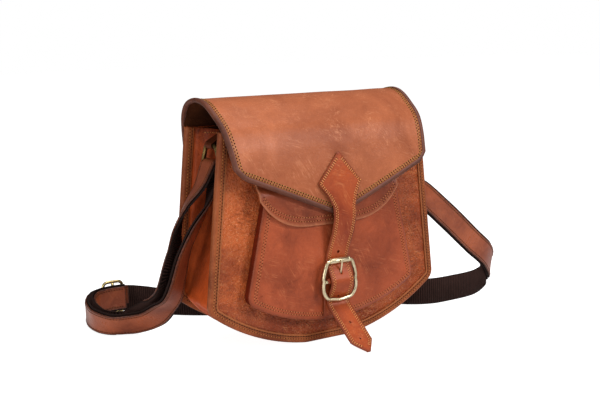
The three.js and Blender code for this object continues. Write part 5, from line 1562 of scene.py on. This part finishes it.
def strap_at(lengths):
    """Fractional rows of the route at lengths along it."""
    return np.interp(lengths, STRAP_LENGTH, STRAP_FINE)


def strap_station(t):
    """Middle of the strap, the direction of its edge and the normal of its leather face."""
    centre = STRAP_MIDDLE(t)
    reach = 0.0001 * STRAP_END
    along = unit(STRAP_MIDDLE(np.minimum(t + reach, STRAP_END)) - STRAP_MIDDLE(np.maximum(t - reach, 0)))
    edge = STRAP_EDGE(t)
    edge = unit(edge - along * np.sum(edge * along, axis=-1, keepdims=True))
    face = np.cross(along, edge)
    below = STRAP_WEBBING_HALF * np.abs(edge[..., 2]) + STRAP_LEATHER_T * np.abs(face[..., 2])
    centre = centre + np.maximum(0, below - centre[..., 2])[..., None] * np.array([0, 0, 1])
    return centre, edge, face


def on_strap(offset):
    """Surface of one layer of the strap: fractional row of its route, and place across its width."""
    def surface(t, s):
        centre, edge, face = strap_station(np.clip(t, 0, STRAP_END))
        return centre + np.asarray(s)[..., None] * edge + face * offset
    return surface


def make_strap():
    whole = STRAP_LENGTH[-1]
    leather_surface = on_strap(STRAP_SEAM / 2 + STRAP_LEATHER_T / 2)
    webbing_surface = on_strap(-STRAP_SEAM / 2 - STRAP_WEBBING_T / 2)
    for name, slot, finish, surface, half, thick in (
            ("strap_leather", "strap_leather", STRAP, leather_surface, STRAP_LEATHER_HALF, STRAP_LEATHER_T),
            ("strap_webbing", "webbing", WEBBING, webbing_surface, STRAP_WEBBING_HALF, STRAP_WEBBING_T)):
        grid = surface(*crossed(strap_at(np.linspace(STRAP_TRIM, whole - STRAP_TRIM, 760)),
                                edge_spread(half - thick / 2, 7, (0, 0.5, 1.2, 2.2, 3.6))))
        sheet(name, grid, thick, finish, slot, rim_reach=2.6)
    sewn = strap_at(np.linspace(STRAP_SEWN_END, whole - STRAP_SEWN_END, 1500))
    for place in (-STRAP_SEWN, STRAP_SEWN):
        sew("strap_stitches", leather_surface, sewn, place, STRAP_LEATHER_T, reach=0.004)
    centre, edge, face = strap_station(strap_at(np.arange(RIB_ENDS[0], whole - RIB_ENDS[1], RIB_PITCH)))
    seats = centre - face * (STRAP_SEAM / 2 + STRAP_WEBBING_T)
    grow("strap_webbing_ribs", make_rib_tree(), [(seats, edge, -face, np.zeros(len(seats), bool))], {
        "Rib Length": 2 * (STRAP_WEBBING_HALF - RIB_INSET) * MM, "Rib Width": RIB_WIDTH * MM,
        "Rib Height": RIB_HEIGHT * MM, "Rib Finish": WEBBING_RIB}, "webbing")


def make_strap_buckle():
    wide, tall = STRAP_BUCKLE_HALF
    cut = STRAP_BUCKLE_CORNER
    corners = [(wide, tall - cut), (wide - cut, tall), (cut - wide, tall), (-wide, tall - cut),
               (-wide, cut - tall), (cut - wide, -tall), (wide - cut, -tall), (wide, cut - tall)]
    path = rounded_line([STRAP_BUCKLE + [x, 0, z] for x, z in corners], BRASS_ROUND, 6, closed=True)
    bar = [STRAP_BUCKLE + [0, 0, z] for z in (-tall, 0, tall)]
    wire("strap_buckle_frame", path, (0, 1, 0), STRAP_BUCKLE_WIRE_R, STRAP_BRASS,
         bars=[(bar, STRAP_BUCKLE_BAR_R)])
    prong("strap_buckle_prong", STRAP_BUCKLE, (0, 1, 0), (-1, 0, 0), (0, 0, 1), STRAP_BUCKLE_BAR_R, wide,
          STRAP_BUCKLE_WIRE_R + GAP + PRONG_R, STRAP_BRASS)
    chape = [np.array([x, y, STRAP_BUCKLE[2]]) for x, y in STRAP_CHAPE_SEAT]
    bend = STRAP_BUCKLE_BAR_R + GAP + CHAPE_T / 2
    chape += wrap_round(STRAP_BUCKLE, (1, 0, 0), (0, 1, 0), bend, *STRAP_CHAPE_WRAP)
    slot = prism(STRAP_BUCKLE, (0, 1, 0), (1, 0, 0), CHAPE_SLOT / 2, SLOT_HALF, CHAPE_SLOT / 2, corners=4)
    loop_of_leather("strap_buckle_chape", chape, (0, 0, 1), STRAP_CHAPE_HALF, CHAPE_T, STRAP,
                    "strap_leather", STRAP_CHAPE_SEWN, -1, slot)


make_strap()
make_strap_buckle()


# Stitches

# Thread of each group of rows, its length and width, and the radius of its holes
THREADS = {
    "flap_stitches": (OCHRE_THREAD, 2.1, 0.9, 0.68), "body_stitches": (BROWN_THREAD, 2.1, 0.9, 0.45),
    "seam_stitches": (DARK_THREAD, 1.8, 0.9, 0.62), "pocket_stitches": (TAN_THREAD, 2.1, 0.8, 0.48),
    "closure_stitches": (ORANGE_THREAD, 1.7, 0.75, 0.38), "strap_stitches": (DARK_THREAD, 2.0, 0.8, 0.55),
}
LOOP_THREAD = (DARK_THREAD, 2.1, 0.7, 0.4)


def make_stitches():
    tree = make_stitch_tree()
    for group, rows in SEWN.items():
        thread, length, width, hole = THREADS.get(group, LOOP_THREAD)
        grow(group, tree, rows, {
            "Thread Length": length * MM, "Thread Width": width * MM, "Thread Height": THREAD_HEIGHT * MM,
            "Hole Radius": hole * MM, "Thread Finish": thread, "Hole Shade Finish": NEEDLE_HOLE_SHADE})


make_stitches()


# Floor, light and camera

def seen_as(tree, lighting, shown):
    """One strength for the light that a surface gives, and another for how the camera sees it."""
    camera_ray = add_node(tree, "ShaderNodeLightPath").outputs["Is Camera Ray"]
    return ramp(tree, camera_ray, 0, 1, lighting, shown)


def pale_floor():
    reach = FLOOR_REACH
    corners = [(-reach, -reach, 0), (reach, -reach, 0), (reach, reach, 0), (-reach, reach, 0)]
    mesh = mesh_of("floor", corners, [(0, 1, 2, 3)])
    material = bpy.data.materials.new("pale_floor")
    material.use_nodes = True
    tree = material.node_tree
    shader = tree.nodes["Principled BSDF"]
    shader.inputs["Base Color"].default_value = FLOOR_COLOUR
    shader.inputs["Roughness"].default_value = FLOOR_ROUGHNESS
    shader.inputs["Emission Color"].default_value = WHITE
    tree.links.new(seen_as(tree, *FLOOR_GLOW), shader.inputs["Emission Strength"])
    mesh.materials.append(material)
    floor = add_object("floor", mesh)
    floor.location.z = -FLOOR_DROP * MM


def studio_world():
    """White surroundings, which light the bag less than they show."""
    world = bpy.data.worlds.new("studio")
    world.use_nodes = True
    tree = world.node_tree
    tree.links.new(seen_as(tree, *WORLD_GLOW), tree.nodes["Background"].inputs["Strength"])
    tree.nodes["Background"].inputs["Color"].default_value = WHITE
    scene.world = world


def stood(right, up, back, place):
    """Matrix of a light or a camera that looks against its back direction."""
    return Matrix([[right[k], up[k], back[k], place[k]] for k in range(3)] + [[0, 0, 0, 1]])


def soft_light(name, place, target, size, power):
    lamp = bpy.data.lights.new(name, "AREA")
    lamp.shape = "RECTANGLE"
    lamp.size, lamp.size_y = size
    lamp.energy = power
    back = unit(np.array(place, float) - np.array(target, float))
    right = unit(np.cross((0, 0, 1), back))
    add_object(name, lamp).matrix_world = stood(right, np.cross(back, right), back, place)


def photo_camera():
    """Camera at the photograph's viewpoint."""
    lens = bpy.data.cameras.new("camera")
    lens.sensor_width = SENSOR_WIDTH
    lens.lens = CAMERA_FOCUS_PX / FRAME_WIDTH_PX * SENSOR_WIDTH
    lens.clip_start = CAMERA_NEAR
    azimuth, elevation, roll = (math.radians(angle) for angle in CAMERA_ANGLES)
    back = np.array([math.sin(azimuth) * math.cos(elevation), -math.cos(azimuth) * math.cos(elevation),
                     math.sin(elevation)])
    level = np.array([math.cos(azimuth), math.sin(azimuth), 0])
    above = np.cross(back, level)
    right = level * math.cos(roll) + above * math.sin(roll)
    up = above * math.cos(roll) - level * math.sin(roll)
    camera = add_object("camera", lens)
    camera.matrix_world = stood(right, up, back, CAMERA_PLACE)
    return camera


pale_floor()
studio_world()
for light_name, light_values in LIGHTS.items():
    soft_light(light_name, *light_values)
scene.camera = photo_camera()
scene.view_settings.view_transform = "Standard"
